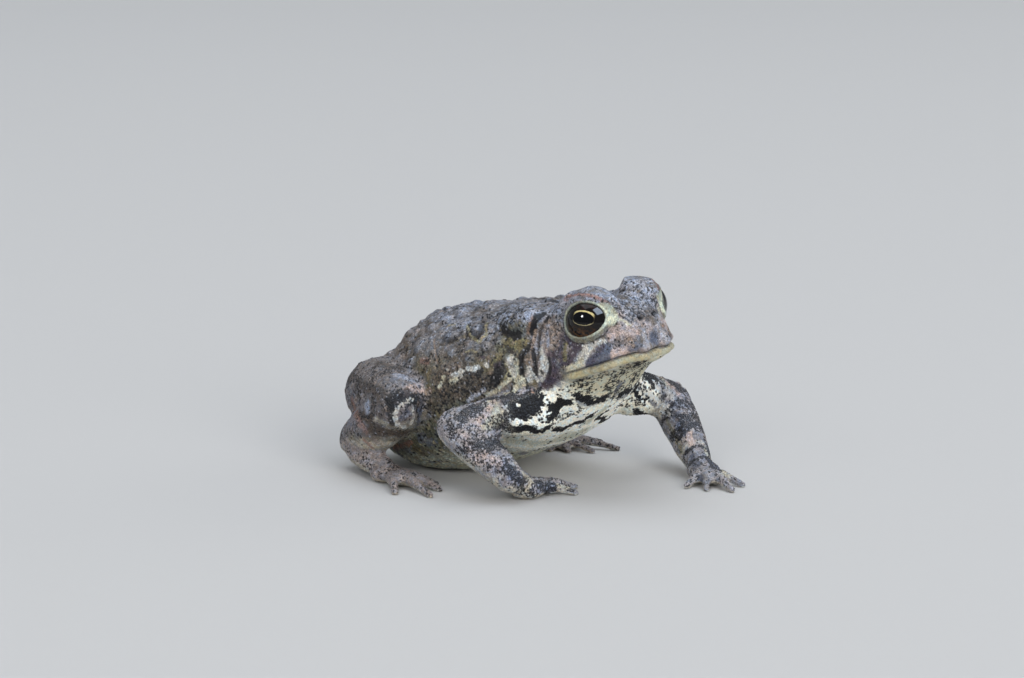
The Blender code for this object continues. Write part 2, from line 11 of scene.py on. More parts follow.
import bmesh
import bpy
import numpy as np
from mathutils import Matrix, Vector, kdtree
from mathutils.bvhtree import BVHTree


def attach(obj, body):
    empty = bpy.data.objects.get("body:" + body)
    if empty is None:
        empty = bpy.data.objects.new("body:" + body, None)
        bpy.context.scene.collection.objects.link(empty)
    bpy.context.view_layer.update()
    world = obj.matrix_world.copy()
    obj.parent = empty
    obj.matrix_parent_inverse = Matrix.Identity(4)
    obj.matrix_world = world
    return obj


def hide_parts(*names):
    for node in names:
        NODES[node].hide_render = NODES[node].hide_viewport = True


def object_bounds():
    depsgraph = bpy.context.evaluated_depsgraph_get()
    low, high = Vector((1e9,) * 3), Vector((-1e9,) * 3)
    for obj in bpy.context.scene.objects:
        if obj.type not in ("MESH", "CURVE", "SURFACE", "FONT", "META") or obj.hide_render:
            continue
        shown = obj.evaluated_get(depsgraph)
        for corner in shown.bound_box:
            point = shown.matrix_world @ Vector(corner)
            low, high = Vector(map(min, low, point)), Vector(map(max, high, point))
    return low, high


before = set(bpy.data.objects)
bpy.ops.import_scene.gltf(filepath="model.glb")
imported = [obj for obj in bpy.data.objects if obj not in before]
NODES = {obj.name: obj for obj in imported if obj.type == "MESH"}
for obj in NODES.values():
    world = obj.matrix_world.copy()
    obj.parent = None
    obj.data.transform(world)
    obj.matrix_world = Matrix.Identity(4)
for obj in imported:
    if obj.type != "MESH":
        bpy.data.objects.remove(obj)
cad_low, cad_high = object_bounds()
MM = 0.001
print("nodes", len(NODES), "box in mm", [round((b - a) / MM, 1) for a, b in zip(cad_low, cad_high)])

# %% [markdown]
# ## The camera
# The photograph looks down a little, over the toad's right shoulder, from the front right. One
# millimetre of the toad at the aiming point is 5.6 pixels wide. A long lens at the matching
# distance keeps the face and the rump in proportion. A named pixel of the photograph can be
# turned into a ray, which later places each marking on the skin it lies on.

# %% Set the camera
def in_scene(name, data):
    """A new object in the scene."""
    obj = bpy.data.objects.new(name, data)
    bpy.context.scene.collection.objects.link(obj)
    return obj


PHOTO_WIDTH, PHOTO_HEIGHT = 1024, 678
PIXELS_PER_MM = 5.6
LENS, SENSOR = 118.0, 36.0
AZIMUTH, ELEVATION = math.radians(-48), math.radians(10)
AIM_PIXEL = (534.7, 473.4)
AIM_POINT = Vector((1.03, 1.03, 0.0))

towards = Vector((math.sin(AZIMUTH) * math.cos(ELEVATION),
                  -math.cos(AZIMUTH) * math.cos(ELEVATION), math.sin(ELEVATION)))
rightward = Vector((math.cos(AZIMUTH), math.sin(AZIMUTH), 0.0))
upward = towards.cross(rightward)
distance = LENS / SENSOR * PHOTO_WIDTH / PIXELS_PER_MM
target = (AIM_POINT + rightward * ((PHOTO_WIDTH / 2 - AIM_PIXEL[0]) / PIXELS_PER_MM)
          + upward * ((AIM_PIXEL[1] - PHOTO_HEIGHT / 2) / PIXELS_PER_MM))
camera_point = target + towards * distance

camera_data = bpy.data.cameras.new("camera")
camera_data.lens, camera_data.sensor_width = LENS, SENSOR
camera_data.clip_start, camera_data.clip_end = 0.02, 20.0
camera = in_scene("camera", camera_data)
placing = Matrix((rightward, upward, towards)).transposed().to_4x4()
placing.translation = camera_point * MM
camera.matrix_world = placing
bpy.context.scene.camera = camera
print("camera at", [round(v) for v in camera_point], "mm")

# %% [markdown]
# ## Floor and light
# A plain pale floor and soft lamps stand in for an overcast sky: a broad cool one overhead,
# a warmer one low in front that reaches the chest, a smaller one over the toad's right shoulder
# whose slant shows the granules, and a weak one on the far side so that no side goes black. The
# large lamps would show as grey squares in the wet eye. So two more lamps, seen only in
# reflections, put the patch of sky and the spark of light there instead.

# %% Make the floor and the lamps
def plain_material(name, colour, roughness):
    material = bpy.data.materials.new(name)
    material.use_nodes = True
    shader = material.node_tree.nodes["Principled BSDF"]
    shader.inputs["Base Color"].default_value = (*colour, 1.0)
    shader.inputs["Roughness"].default_value = roughness
    return material


def soft_lamp(name, at, size, watts, colour):
    """A square lamp that faces the toad; at is the way to it, in metres."""
    data = bpy.data.lights.new(name, "AREA")
    data.size, data.energy, data.color = size, watts, colour
    lamp = in_scene(name, data)
    lamp.location = Vector((0, 0, 0.015)) + Vector(at)
    lamp.rotation_euler = (-Vector(at)).to_track_quat("-Z", "Y").to_euler()
    return lamp


floor_mesh = bpy.data.meshes.new("floor")
FLOOR_REACH = 6.0
corners = [(x * FLOOR_REACH, y * FLOOR_REACH, 0) for x, y in ((-1, -1), (1, -1), (1, 1), (-1, 1))]
floor_mesh.from_pydata(corners, [], [(0, 1, 2, 3)])
floor = in_scene("floor", floor_mesh)
floor_mesh.materials.append(plain_material("pale_floor", (0.58, 0.57, 0.56), 0.8))

soft_lamp("sky", (0.5, 0.6, 3.0), 3.2, 58.0, (0.88, 0.94, 1.0))
soft_lamp("window", (-0.9, -2.7, 1.2), 1.5, 52.0, (1.0, 0.99, 0.97)).visible_glossy = False
soft_lamp("shoulder", (-2.7, -1.1, 1.6), 1.0, 24.0, (0.97, 0.98, 1.0)).visible_glossy = False
soft_lamp("far_side", (2.5, -1.0, 0.8), 1.5, 10.0, (1.0, 0.97, 0.93))
soft_lamp("sky_patch", (0.12, -1.22, 1.58), 1.1, 60.0, (0.66, 0.80, 1.0)).visible_diffuse = False
soft_lamp("spark", (-2.02, 0.2, 1.12), 0.36, 26.0, (1.0, 1.0, 1.0)).visible_diffuse = False

world = bpy.data.worlds.new("room")
bpy.context.scene.world = world
world.use_nodes = True
sky = world.node_tree.nodes["Background"].inputs
sky["Color"].default_value, sky["Strength"].default_value = (0.80, 0.85, 0.92, 1), 0.34
bpy.context.scene.view_settings.view_transform = "Standard"

# %% [markdown]
# ## One skin over the flesh
# A toad has no seams, but the solid model is cut into head, jaw, trunk and limb pieces with a
# fine gap between them. Sculpting a new skin by hand would lose the fit. So every flesh node is
# copied, swollen a little until the gaps close, and all copies are melted into one surface by a
# voxel remesh. Smoothing removes the facets, and the skin is drawn in again by the same amount.

# %% Helpers for points, normals and neighbours
def points_of(mesh):
    co = np.empty(len(mesh.vertices) * 3)
    mesh.vertices.foreach_get("co", co)
    return co.reshape(-1, 3)


def set_points(mesh, co):
    mesh.vertices.foreach_set("co", np.ascontiguousarray(co, dtype=np.float32).ravel())
    mesh.update()


def normals_of(mesh):
    normal = np.empty(len(mesh.vertices) * 3)
    mesh.vertex_normals.foreach_get("vector", normal)
    return normal.reshape(-1, 3)


def mesh_from(bm, name):
    """Turns an editing mesh into a stored one."""
    mesh = bpy.data.meshes.new(name)
    bm.to_mesh(mesh)
    bm.free()
    return mesh


def tree_of(points):
    """A search tree for the nearest of some points."""
    tree = kdtree.KDTree(len(points))
    for i, p in enumerate(points):
        tree.insert(p, i)
    tree.balance()
    return tree


def edges_of(mesh):
    pairs = np.empty(len(mesh.edges) * 2, dtype=np.int32)
    mesh.edges.foreach_get("vertices", pairs)
    return pairs.reshape(-1, 2)


def neighbour_mean(values, pairs):
    """The mean of each vertex's neighbours, for one value or several per vertex."""
    table = values.reshape(len(values), -1)
    a, b = pairs[:, 0], pairs[:, 1]
    count = np.bincount(pairs.ravel(), minlength=len(table))
    out = np.empty_like(table, dtype=float)
    for k in range(table.shape[1]):
        column = table[:, k]
        out[:, k] = (np.bincount(a, column[b], len(table)) + np.bincount(b, column[a], len(table)))
    return (out / np.maximum(count, 1)[:, None]).reshape(values.shape)


def soften(values, pairs, rounds, share=0.5):
    """Spreads a painted value over the skin."""
    for _ in range(rounds):
        values = values + share * (neighbour_mean(values, pairs) - values)
    return values


def smooth_points(co, pairs, rounds, weight):
    """Smooths without shrinking: each round pulls in, then swells back a little more."""
    for _ in range(rounds):
        for share in (0.55, -0.57):
            co = co + (share * weight)[:, None] * (neighbour_mean(co, pairs) - co)
    return co


# %% Melt the flesh nodes into one surface
SWELL = 0.34
SKIN_VOXEL = 0.3
FLESH = sorted(name for name in NODES if not name.startswith("eye_"))


def swollen_copy(name):
    """A copy in millimetres, with its split corners welded, pushed out by SWELL."""
    bm = bmesh.new()
    bm.from_mesh(NODES[name].data)
    bmesh.ops.scale(bm, verts=bm.verts, vec=(1 / MM,) * 3)
    bmesh.ops.remove_doubles(bm, verts=bm.verts, dist=1e-3)
    mesh = mesh_from(bm, "swollen_" + name)
    set_points(mesh, points_of(mesh) + normals_of(mesh) * SWELL)
    return mesh


def join_meshes(meshes, name):
    joined = bmesh.new()
    for mesh in meshes:
        joined.from_mesh(mesh)
    return mesh_from(joined, name)


def applied(obj):
    """The object's mesh after its modifiers."""
    shown = obj.evaluated_get(bpy.context.evaluated_depsgraph_get())
    mesh = bpy.data.meshes.new_from_object(shown)
    obj.modifiers.clear()
    obj.data = mesh
    return mesh


def keep_largest_piece(mesh):
    """Drops any closed bubble that the melting left inside."""
    pairs = edges_of(mesh)
    label = np.arange(len(mesh.vertices))
    while True:
        low = np.minimum(label[pairs[:, 0]], label[pairs[:, 1]])
        new = label.copy()
        np.minimum.at(new, pairs[:, 0], low)
        np.minimum.at(new, pairs[:, 1], low)
        new = new[new]
        if (new == label).all():
            break
        label = new
    biggest = np.bincount(label).argmax()
    if (label == biggest).all():
        return 0
    bm = bmesh.new()
    bm.from_mesh(mesh)
    bm.verts.ensure_lookup_table()
    loose = np.flatnonzero(label != biggest)
    bmesh.ops.delete(bm, geom=[bm.verts[i] for i in loose], context="VERTS")
    bm.to_mesh(mesh)
    bm.free()
    return len(loose)


skin_mesh = join_meshes([swollen_copy(name) for name in FLESH], "toad_skin")
skin = in_scene("toad_skin", skin_mesh)
remesh = skin.modifiers.new("melt", "REMESH")
remesh.mode, remesh.voxel_size = "VOXEL", SKIN_VOXEL
skin_mesh = applied(skin)
dropped = keep_largest_piece(skin_mesh)
print("melted skin", len(skin_mesh.vertices), "points,", dropped, "dropped")

# %% Which form each point of the skin belongs to
REGIONS = {"head": ("head", "ear"), "jaw": ("lower_jaw",), "gland": ("parotoid",),
           "arm": ("upper_arm", "forearm"), "hand": ("hand",), "leg": ("thigh", "shank"),
           "foot": ("foot",)}
SPREAD = {"head": 4, "jaw": 3, "gland": 8, "arm": 6, "hand": 3, "leg": 6, "foot": 3}


def region_weights(points):
    """For each region, 1 on its own skin and 0 elsewhere."""
    samples = [(name, p) for name in FLESH for p in points_of(NODES[name].data) / MM]
    tree = tree_of([p for _, p in samples])
    nearest = [samples[tree.find(p)[1]][0] for p in points]
    return {region: np.array([float(name.startswith(starts)) for name in nearest])
            for region, starts in REGIONS.items()}


FACET_ROUNDS, FORM_ROUNDS, REGAIN_ROUNDS = 14, 26, 60
pairs = edges_of(skin_mesh)
co = points_of(skin_mesh)
weights = region_weights(co)
face = weights["head"] + weights["jaw"]
ends = weights["hand"] + weights["foot"]
co = smooth_points(co, pairs, FACET_ROUNDS, soften(1.0 - 0.35 * face - 0.3 * ends, pairs, 6))
broad_form = soften(np.clip(1.0 - face - ends, 0, 1), pairs, 12)
start = co
for _ in range(FORM_ROUNDS):
    co = co + 0.5 * broad_form[:, None] * (neighbour_mean(co, pairs) - co)
set_points(skin_mesh, co)
lost = np.einsum("ij,ij->i", start - co, normals_of(skin_mesh))
co = co + soften(lost, pairs, REGAIN_ROUNDS)[:, None] * normals_of(skin_mesh)
set_points(skin_mesh, co)
set_points(skin_mesh, co - normals_of(skin_mesh) * SWELL)
print("smoothed; box", np.round(np.ptp(points_of(skin_mesh), axis=0), 1))

# %% [markdown]
# ## Soft joints
# Where the solid model sets one form into another, such as the upper arm in the chest or the
# parotoid gland behind the eye, a real toad has loose skin that bridges them. A brush in code
# does what the smooth brush does in sculpting: it relaxes only the skin near a named point.

# %% Relax the skin at the shoulders, glands, jaw corners, hips and knees
HEAD_CENTRE = Vector((0.08, -18.87, 31.6))
HEAD_TURN = Matrix.Rotation(math.radians(-4), 3, "Y") @ Matrix.Rotation(math.radians(-17), 3, "X")


def head_way(side, forward, up):
    """A way named in the head's own frame: to its left, forward and up."""
    return HEAD_TURN @ Vector((side, -forward, up))


def in_head(side, forward, up):
    return HEAD_CENTRE + head_way(side, forward, up)


def to_head(points):
    local = (points - np.array(HEAD_CENTRE)) @ np.array(HEAD_TURN)
    return local[:, 0], -local[:, 1], local[:, 2]


def nearness(points, at, radius):
    """1 at a point, falling smoothly to 0 at the radius."""
    t = np.clip(np.linalg.norm(points - np.array(at), axis=1) / radius, 0, 1)
    return (1 - t * t) ** 2


SOFT_SPOTS = [
    (Vector((-10.6, -10.0, 14.8)), 7.5, 20), (Vector((13.2, -10.4, 14.8)), 7.5, 20),
    (Vector((-9.6, -4.6, 29.6)), 8.4, 26), (Vector((11.4, -4.6, 29.6)), 8.4, 26),
    (in_head(-12.0, -5.5, -9.5), 6.0, 20), (in_head(12.0, -5.5, -9.5), 6.0, 20),
    (Vector((-12.2, 25.8, 13.6)), 10.0, 16), (Vector((8.6, 26.4, 13.6)), 10.0, 16),
    (Vector((-21.4, 14.4, 13.6)), 8.0, 26), (Vector((21.4, 15.6, 13.4)), 8.0, 26),
    (Vector((-21.6, -1.6, 12.0)), 6.0, 8), (Vector((24.2, -11.0, 11.4)), 6.0, 8),
]
co = points_of(skin_mesh)
for at, radius, rounds in SOFT_SPOTS:
    mask = nearness(co, at, radius)
    local = pairs[(mask > 0.001)[pairs].any(axis=1)]
    names, flat = np.unique(local, return_inverse=True)
    local_pairs, patch = flat.reshape(-1, 2), co[names]
    for _ in range(rounds):
        patch = patch + 0.5 * mask[names, None] * (neighbour_mean(patch, local_pairs) - patch)
    co[names] = patch
set_points(skin_mesh, co)
print("relaxed", len(SOFT_SPOTS), "places")

# %% Pull the snout in, raise the brows, carry the eyes out and fill the bend of the knee
EYE_SHIFT = 0.75
PULLS = [(in_head(0, 7.4, -8.4), 4.6, head_way(0, -0.5, 0.1)),
         (in_head(0, 7.2, -5.0), 4.6, head_way(0, -0.3, 0)),
         (in_head(0, 6.4, -9.2), 4.0, head_way(0, -0.4, 0)),
         (in_head(1.2, -1.5, 4.2), 3.8, head_way(0, 0, -0.7)),
         (in_head(3.5, -2.6, 4.0), 3.2, head_way(0, 0.4, -0.9)),
         (in_head(-6.0, -5.4, 4.2), 3.4, head_way(0, 0, 0.7)),
         (in_head(-5.4, 1.6, 5.0), 2.4, head_way(0, 0, -0.25)),
         (Vector((-22.6, 12.6, 13.4)), 5.0, Vector((-0.5, -0.6, 0.0))),
         (Vector((22.6, 13.8, 13.2)), 5.0, Vector((0.5, -0.6, 0.0)))]
for sign in (-1, 1):
    PULLS += [(in_head(sign * 6.8, 5.1, -7.6), 4.4, head_way(-sign * 0.4, -0.5, 0)),
              (in_head(sign * 5.4, 5.6, -8.9), 3.2, head_way(0, -0.75, 0.1)),
              (in_head(sign * 7.6, 4.3, -3.2), 3.0, head_way(-sign * 0.35, -0.4, 0)),
              (in_head(sign * 5.0, -0.6, 5.0), 4.6, head_way(0, 0, 0.6)),
              (in_head(sign * 5.2, -3.8, 4.4), 3.8, head_way(0, 0, -0.15 - 0.65 * sign)),
              (in_head(sign * 5.75, -0.2, -0.3), 8.0, head_way(sign * EYE_SHIFT, 0, 0))]
for at, radius, move in PULLS:
    co = co + nearness(co, at, radius)[:, None] * np.array(move)
set_points(skin_mesh, co)
print("pulled", len(PULLS), "places; top at", round(float(co[:, 2].max()), 2),
      "of", round(cad_high[2] / MM, 2))

# %% Refine the skin once
def write_layer(mesh, name, values):
    layer = mesh.attributes.new(name, "FLOAT", "POINT")
    layer.data.foreach_set("value", np.asarray(values, dtype=np.float32))


def take_layer(mesh, name):
    values = np.empty(len(mesh.vertices), dtype=np.float32)
    mesh.attributes[name].data.foreach_get("value", values)
    mesh.attributes.remove(mesh.attributes[name])
    return values.astype(float)


for region in REGIONS:
    write_layer(skin_mesh, "mask_" + region, soften(weights[region], pairs, SPREAD[region]))
broad = soften(normals_of(skin_mesh), pairs, 8)
for k, axis in enumerate("xyz"):
    write_layer(skin_mesh, "broad_" + axis, broad[:, k])
refine = skin.modifiers.new("refine", "SUBSURF")
refine.levels = refine.render_levels = 1
refine.boundary_smooth = "ALL"
skin_mesh = applied(skin)
skin_mesh.name = "toad_skin"
pairs = edges_of(skin_mesh)
masks = {region: take_layer(skin_mesh, "mask_" + region) for region in REGIONS}
smooth_normal = np.stack([take_layer(skin_mesh, "broad_" + axis) for axis in "xyz"], axis=1)
smooth_normal /= np.maximum(np.linalg.norm(smooth_normal, axis=1), 1e-6)[:, None]
co = points_of(skin_mesh)
normal = normals_of(skin_mesh)
print("refined skin", len(co), "points,", len(skin_mesh.polygons), "faces")

# %% [markdown]
# ## Smooth random patches
# Markings, warts and granules are never regular. One field of smooth random numbers, fixed by
# its seed, is used wherever an edge has to wander or a tone has to drift.

# %% A field of smooth random numbers
def cube_codes(cubes):
    """A number for each small cube of space, unlike its neighbours' numbers."""
    return (cubes[:, 0] * 73856093) ^ (cubes[:, 1] * 19349663) ^ (cubes[:, 2] * 83492791)


def drift(points, size, seed):
    """Random values from -1 to 1 that change over about size millimetres."""
    p = points / size + 31.7 * seed
    corner = np.floor(p).astype(np.int64)
    f = p - corner
    f = f * f * (3 - 2 * f)
    total = np.zeros(len(p))
    for k in range(8):
        step = np.array(((k >> 2) & 1, (k >> 1) & 1, k & 1))
        code = cube_codes(corner + step) ^ (seed * 7919)
        code = ((code ^ (code >> 13)) * 1274126177) & 0xFFFFFF
        code = (code ^ (code >> 9)) & 0xFFFF
        share = np.prod(np.where(step == 1, f, 1 - f), axis=1)
        total += (code / 32767.5 - 1) * share
    return total


def mottle(points, size, seed):
    """Drift at three sizes, for edges that wander."""
    return (drift(points, size, seed) + 0.5 * drift(points, size / 2, seed + 1)
            + 0.25 * drift(points, size / 4, seed + 2)) / 1.4


print("drift range", np.round((drift(co[:5000], 3.0, 1).min(), drift(co[:5000], 3.0, 1).max()), 2))

# %% [markdown]
# ## Masks for the body regions
# The solid model's nodes said which skin belongs to the head, an arm or a leg. What is left is
# the trunk. The chest isn't a node: it is the skin below the mouth's level and in front of the
# arms, and it takes in the roots of the arms.

# %% Masks and measures
face_mask = np.clip(masks["head"] + masks["jaw"], 0, 1)
gland_mask, arm_mask, leg_mask = masks["gland"], masks["arm"], masks["leg"]
end_mask = np.clip(masks["hand"] + masks["foot"], 0, 1)
limb_mask = np.clip(arm_mask + leg_mask + end_mask, 0, 1)
trunk_mask = np.clip(1 - face_mask - limb_mask, 0, 1)
side, forward, up = to_head(co)
right_half = co[:, 0] < 0
MOUTH_LINE = ((-13.0, -9.4), (-8.5, -8.8), (-4.8, -7.8), (-1.5, -7.7), (1.5, -7.6), (4.0, -7.45),
              (5.8, -7.5), (6.6, -7.8), (6.95, -8.0))
mouth_level = np.interp(forward, [f for f, _ in MOUTH_LINE], [u for _, u in MOUTH_LINE])
from_mouth = up - mouth_level
ARM_BONES = {-1: ((-10.57, -9.97, 14.6), (-21.57, -1.57, 12.0), (-19.17, -11.27, 4.3),
                  (-14.37, -11.1, 1.7)),
             1: ((13.03, -10.47, 14.6), (24.23, -10.97, 11.4), (19.23, -21.17, 3.4),
                 (16.55, -25.15, 1.7))}
LEG_BONES = {-1: ((-12.17, 26.43, 13.3), (-20.37, 14.43, 13.9), (-16.57, 28.43, 5.2),
                  (-20.37, 18.23, 2.3), (-20.8, 16.3, 1.3)),
             1: ((8.63, 26.63, 13.3), (20.43, 15.63, 13.7), (14.03, 29.03, 5.2),
                 (19.83, 19.43, 2.3), (20.3, 17.5, 1.3))}


def along_bones(bones):
    """How far along a limb's chain of bones each point is, counted in bones."""
    best, where = np.full(len(co), 99.0), np.zeros(len(co))
    for k, (a, b) in enumerate(zip(bones, bones[1:])):
        a, b = np.array(a), np.array(b)
        t = np.clip((co - a) @ (b - a) / ((b - a) @ (b - a)), 0, 1)
        gap = np.linalg.norm(co - a - t[:, None] * (b - a), axis=1)
        closer = gap < best
        best[closer], where[closer] = gap[closer], (k + t)[closer]
    return where


def step_up(values, low, high):
    """0 below low, 1 above high and a smooth rise between."""
    t = np.clip((values - low) / (high - low), 0, 1)
    return t * t * (3 - 2 * t)


def bell(values, at, width):
    """1 at one value, falling to nothing on both sides, for the section of a ridge or groove."""
    return np.exp(-((values - at) / width) ** 2)


along_arm = np.where(right_half, along_bones(ARM_BONES[-1]), along_bones(ARM_BONES[1]))
below_mouth = step_up(-from_mouth, 0.3, 1.0)
chest_mask = (below_mouth * step_up(-co[:, 1], 0.5, 4.0) * (1 - end_mask)
              * (1 - arm_mask * step_up(along_arm, 0.32, 0.48)))
throat_mask = chest_mask * step_up(forward, -9.0, -4.0)
print("chest and throat share of the skin", round(float(chest_mask.mean()), 2))

# %% [markdown]
# ## Eyelids, lips, nostrils and ear discs
# These small forms give the face its look, and they are too fine for the solids. Each is a
# height in millimetres, added along the skin's normal: a groove takes away and a ridge adds.

# %% Where the eyes look
EYE_RADIUS = 4.5
LID_HALF = (3.9, 2.9)
OPENING_SHIFT = {-1: (0.0, 0.12), 1: (0.35, -0.4)}
GAZE_FORWARD, GAZE_UP = math.radians(16), math.radians(10)


def eye_frame(sign):
    """Centre of an eyeball and its outward, forward and upward directions; -1 is the right."""
    flat = math.cos(GAZE_UP)
    out = Vector((sign * math.cos(GAZE_FORWARD) * flat, -math.sin(GAZE_FORWARD) * flat,
                  math.sin(GAZE_UP)))
    ahead = Vector((-sign * math.sin(GAZE_FORWARD), -math.cos(GAZE_FORWARD), 0.0))
    above = out.cross(ahead)
    if above.z < 0:
        above = -above
    return (in_head(sign * (5.75 + EYE_SHIFT), -0.2, -0.3), HEAD_TURN @ out, HEAD_TURN @ ahead,
            HEAD_TURN @ above)


def eye_coordinates(points, sign):
    """Forward, upward and outward distance of points from an eyeball's centre."""
    centre, out, ahead, above = eye_frame(sign)
    p = points - np.array(centre)
    return p @ np.array(ahead), p @ np.array(above), p @ np.array(out)


def round_the_eye(sign):
    """Each point's share near an eye, its place about the gaze and its gap to the opening."""
    a, b, c = eye_coordinates(co, sign)
    a, b = a - OPENING_SHIFT[sign][0], b - OPENING_SHIFT[sign][1]
    near = (np.sqrt(a * a + b * b + c * c) < 7.5) & (c > 0.4)
    spread = np.maximum(np.hypot(a, b), 1e-6)
    ring = np.sqrt((a / LID_HALF[0]) ** 2 + (b / LID_HALF[1]) ** 2)
    return near, a, b, c, a / spread, b / spread, ring, (ring - 1) * spread / np.maximum(ring, 1e-6)


# %% Draw the lids down onto the balls
LID_LIFT, LID_SLOPE, BROW_SLOPE, REAR_SLOPE = 0.04, 0.12, 1.6, 0.5
LID_REACH, SOCKET_DEPTH = 7.2, 0.3
for sign in (-1, 1):
    near, a, b, c, ahead, above, ring, gap = round_the_eye(sign)
    centre = np.array(eye_frame(sign)[0])
    away = np.linalg.norm(co - centre, axis=1)
    facing = np.einsum("ij,ij->i", normal, co - centre) / away
    slope = LID_SLOPE + BROW_SLOPE * np.maximum(above, 0) + REAR_SLOPE * np.maximum(-ahead, 0)
    lid = EYE_RADIUS + LID_LIFT + slope * np.maximum(gap, 0) + 0.32 * np.maximum(gap - 0.9, 0) ** 2
    inner = EYE_RADIUS - SOCKET_DEPTH
    limit = inner + (lid - inner) * step_up(facing, -0.4, 0.4) * step_up(gap, -0.15, 0.08)
    share = step_up(LID_REACH - away, 0.0, 1.2) * step_up(c, 0.2, 1.0)
    co = co - (share * np.maximum(away - limit, 0) / away)[:, None] * (co - centre)
set_points(skin_mesh, co)
normal = normals_of(skin_mesh)

# %% Shape the lids
relief = np.zeros(len(co))
lid_field = np.full(len(co), 9.0)
lid_gap = np.full(len(co), 9.0)
lid_share = np.zeros(len(co))
for sign in (-1, 1):
    near, a, b, c, ahead, above, ring, gap = round_the_eye(sign)
    wedge = step_up(0.998 * ahead + 0.06 * above, 0.82, 0.97)
    width = 0.36 + 1.1 * wedge + 0.75 * np.maximum(-above, 0) + 0.25 * np.maximum(-ahead, 0)
    lid_field = np.where(near, np.minimum(lid_field, ring), lid_field)
    lid_gap = np.where(near, np.minimum(lid_gap, gap / width), lid_gap)
    edge = (step_up(0.45 - gap, 0.0, 0.25)
            * (0.16 + 0.7 * np.maximum(ahead, 0) + 0.2 * np.maximum(-ahead, 0)))
    bright = wedge * (0.4 + 0.55 * step_up(0.9 - b + 0.6 * drift(co, 0.7, 15), 0.0, 1.4))
    pale = np.clip(bright + edge + 0.25 * step_up(-ahead, 0.5, 0.9), 0, 0.95)
    lid_share = np.where(near, pale, lid_share)
    upper = step_up(b, -0.4, 0.8)
    fold = bell(gap - 0.85, 0.08 * np.sin(a), 0.16)
    lower_fold = bell(gap, 1.3, 0.17) * step_up(-b, 0.6, 1.8)
    second = bell(gap, 2.1, 0.2) * step_up(-b, 0.8, 2.0)
    front_fold = bell(gap, 1.55, 0.14) * wedge
    rim = bell(gap, 0.25, 0.22) * (1 - wedge)
    relief += near * (0.08 * rim - 0.24 * fold * upper * (1 - wedge) - 0.24 * lower_fold - 0.1 * second
                      - 0.2 * front_fold + 0.08 * bell(gap, 1.5, 0.35) * upper * (1 - wedge))
print("lid points", int((lid_gap < 1.0).sum()))

# %% Mouth line, lips, nostrils and ear rims
MOUTH_CORNER = -4.6
NOSTRIL, NOSTRIL_DEPTH = (1.8, 6.3, -1.8), 0.7
EAR_DISC, EAR_SIZE = (10.9, -8.6, -0.9), (1.7, 1.95)

lip_share = face_mask * step_up(forward, MOUTH_CORNER - 0.8, MOUTH_CORNER + 1.4)
LIP_FORMS = ((0.14, 0.75, 0.5), (0.1, -0.8, 0.5), (-0.42, 0, 0.2), (-0.12, -1.75, 0.28))
relief += lip_share * sum(height * bell(from_mouth, at, width) for height, at, width in LIP_FORMS)
for sign in (-1, 1):
    nostril = np.linalg.norm(co - np.array(in_head(sign * NOSTRIL[0], *NOSTRIL[1:])), axis=1)
    relief += -NOSTRIL_DEPTH * bell(nostril, 0, 0.4) + 0.12 * bell(nostril, 0.85, 0.28)
    across = np.hypot((forward - EAR_DISC[1]) / EAR_SIZE[0], (up - EAR_DISC[2]) / EAR_SIZE[1])
    disc = (side * sign > 6) * face_mask
    relief += disc * (-0.12 * step_up(-across, -1.0, -0.8) + 0.16 * bell(across, 1.1, 0.12))
print("relief from", round(relief.min(), 2), "to", round(relief.max(), 2), "mm")

# %% [markdown]
# ## Placing by the photograph
# A fold or a marking is named by a few pixels of the photograph. Each is turned
# into a ray from the camera, and the place where it meets the skin is kept as a point in space.
# From then on the marking lies on the skin and looks right from any side. The side that the
# photograph doesn't show gets the same marking, mirrored in the head or the trunk, or carried
# from limb to limb bone by bone, and a little displaced, as on a real animal.

# %% Pixel to skin, and mirroring
set_points(skin_mesh, co)
skin_tree = BVHTree.FromObject(skin, bpy.context.evaluated_depsgraph_get())


def pixel_ray(x, y):
    scale = SENSOR / LENS / PHOTO_WIDTH
    way = (-towards + rightward * ((x - PHOTO_WIDTH / 2) * scale)
           + upward * ((PHOTO_HEIGHT / 2 - y) * scale))
    return way.normalized()


def on_skin(x, y):
    """The point of the skin seen at a pixel, or the nearest skin where the ray just misses."""
    way = pixel_ray(x, y)
    hit = skin_tree.ray_cast(camera_point, way)[0]
    if hit is None:
        hit = camera_point + way * distance
        for _ in range(4):
            near = skin_tree.find_nearest(hit)[0]
            hit = camera_point + way * (near - camera_point).dot(way)
        hit = near
    return hit


def traced(pixels, step=3.0):
    """A path over the skin through named pixels, with a point every few pixels."""
    out = [on_skin(*pixels[0])]
    for (x0, y0), (x1, y1) in zip(pixels, pixels[1:]):
        count = max(1, round(math.hypot(x1 - x0, y1 - y0) / step))
        for k in range(1, count + 1):
            t = k / count
            out.append(on_skin(x0 + (x1 - x0) * t, y0 + (y1 - y0) * t))
    return out


def across_head(p):
    local = HEAD_TURN.transposed() @ (p - HEAD_CENTRE)
    return in_head(-local.x, -local.y, local.z)


def across_trunk(p):
    middle = 0.7 - 0.09 * max(p.y, 0.0)
    return Vector((2 * middle - p.x, p.y, p.z))


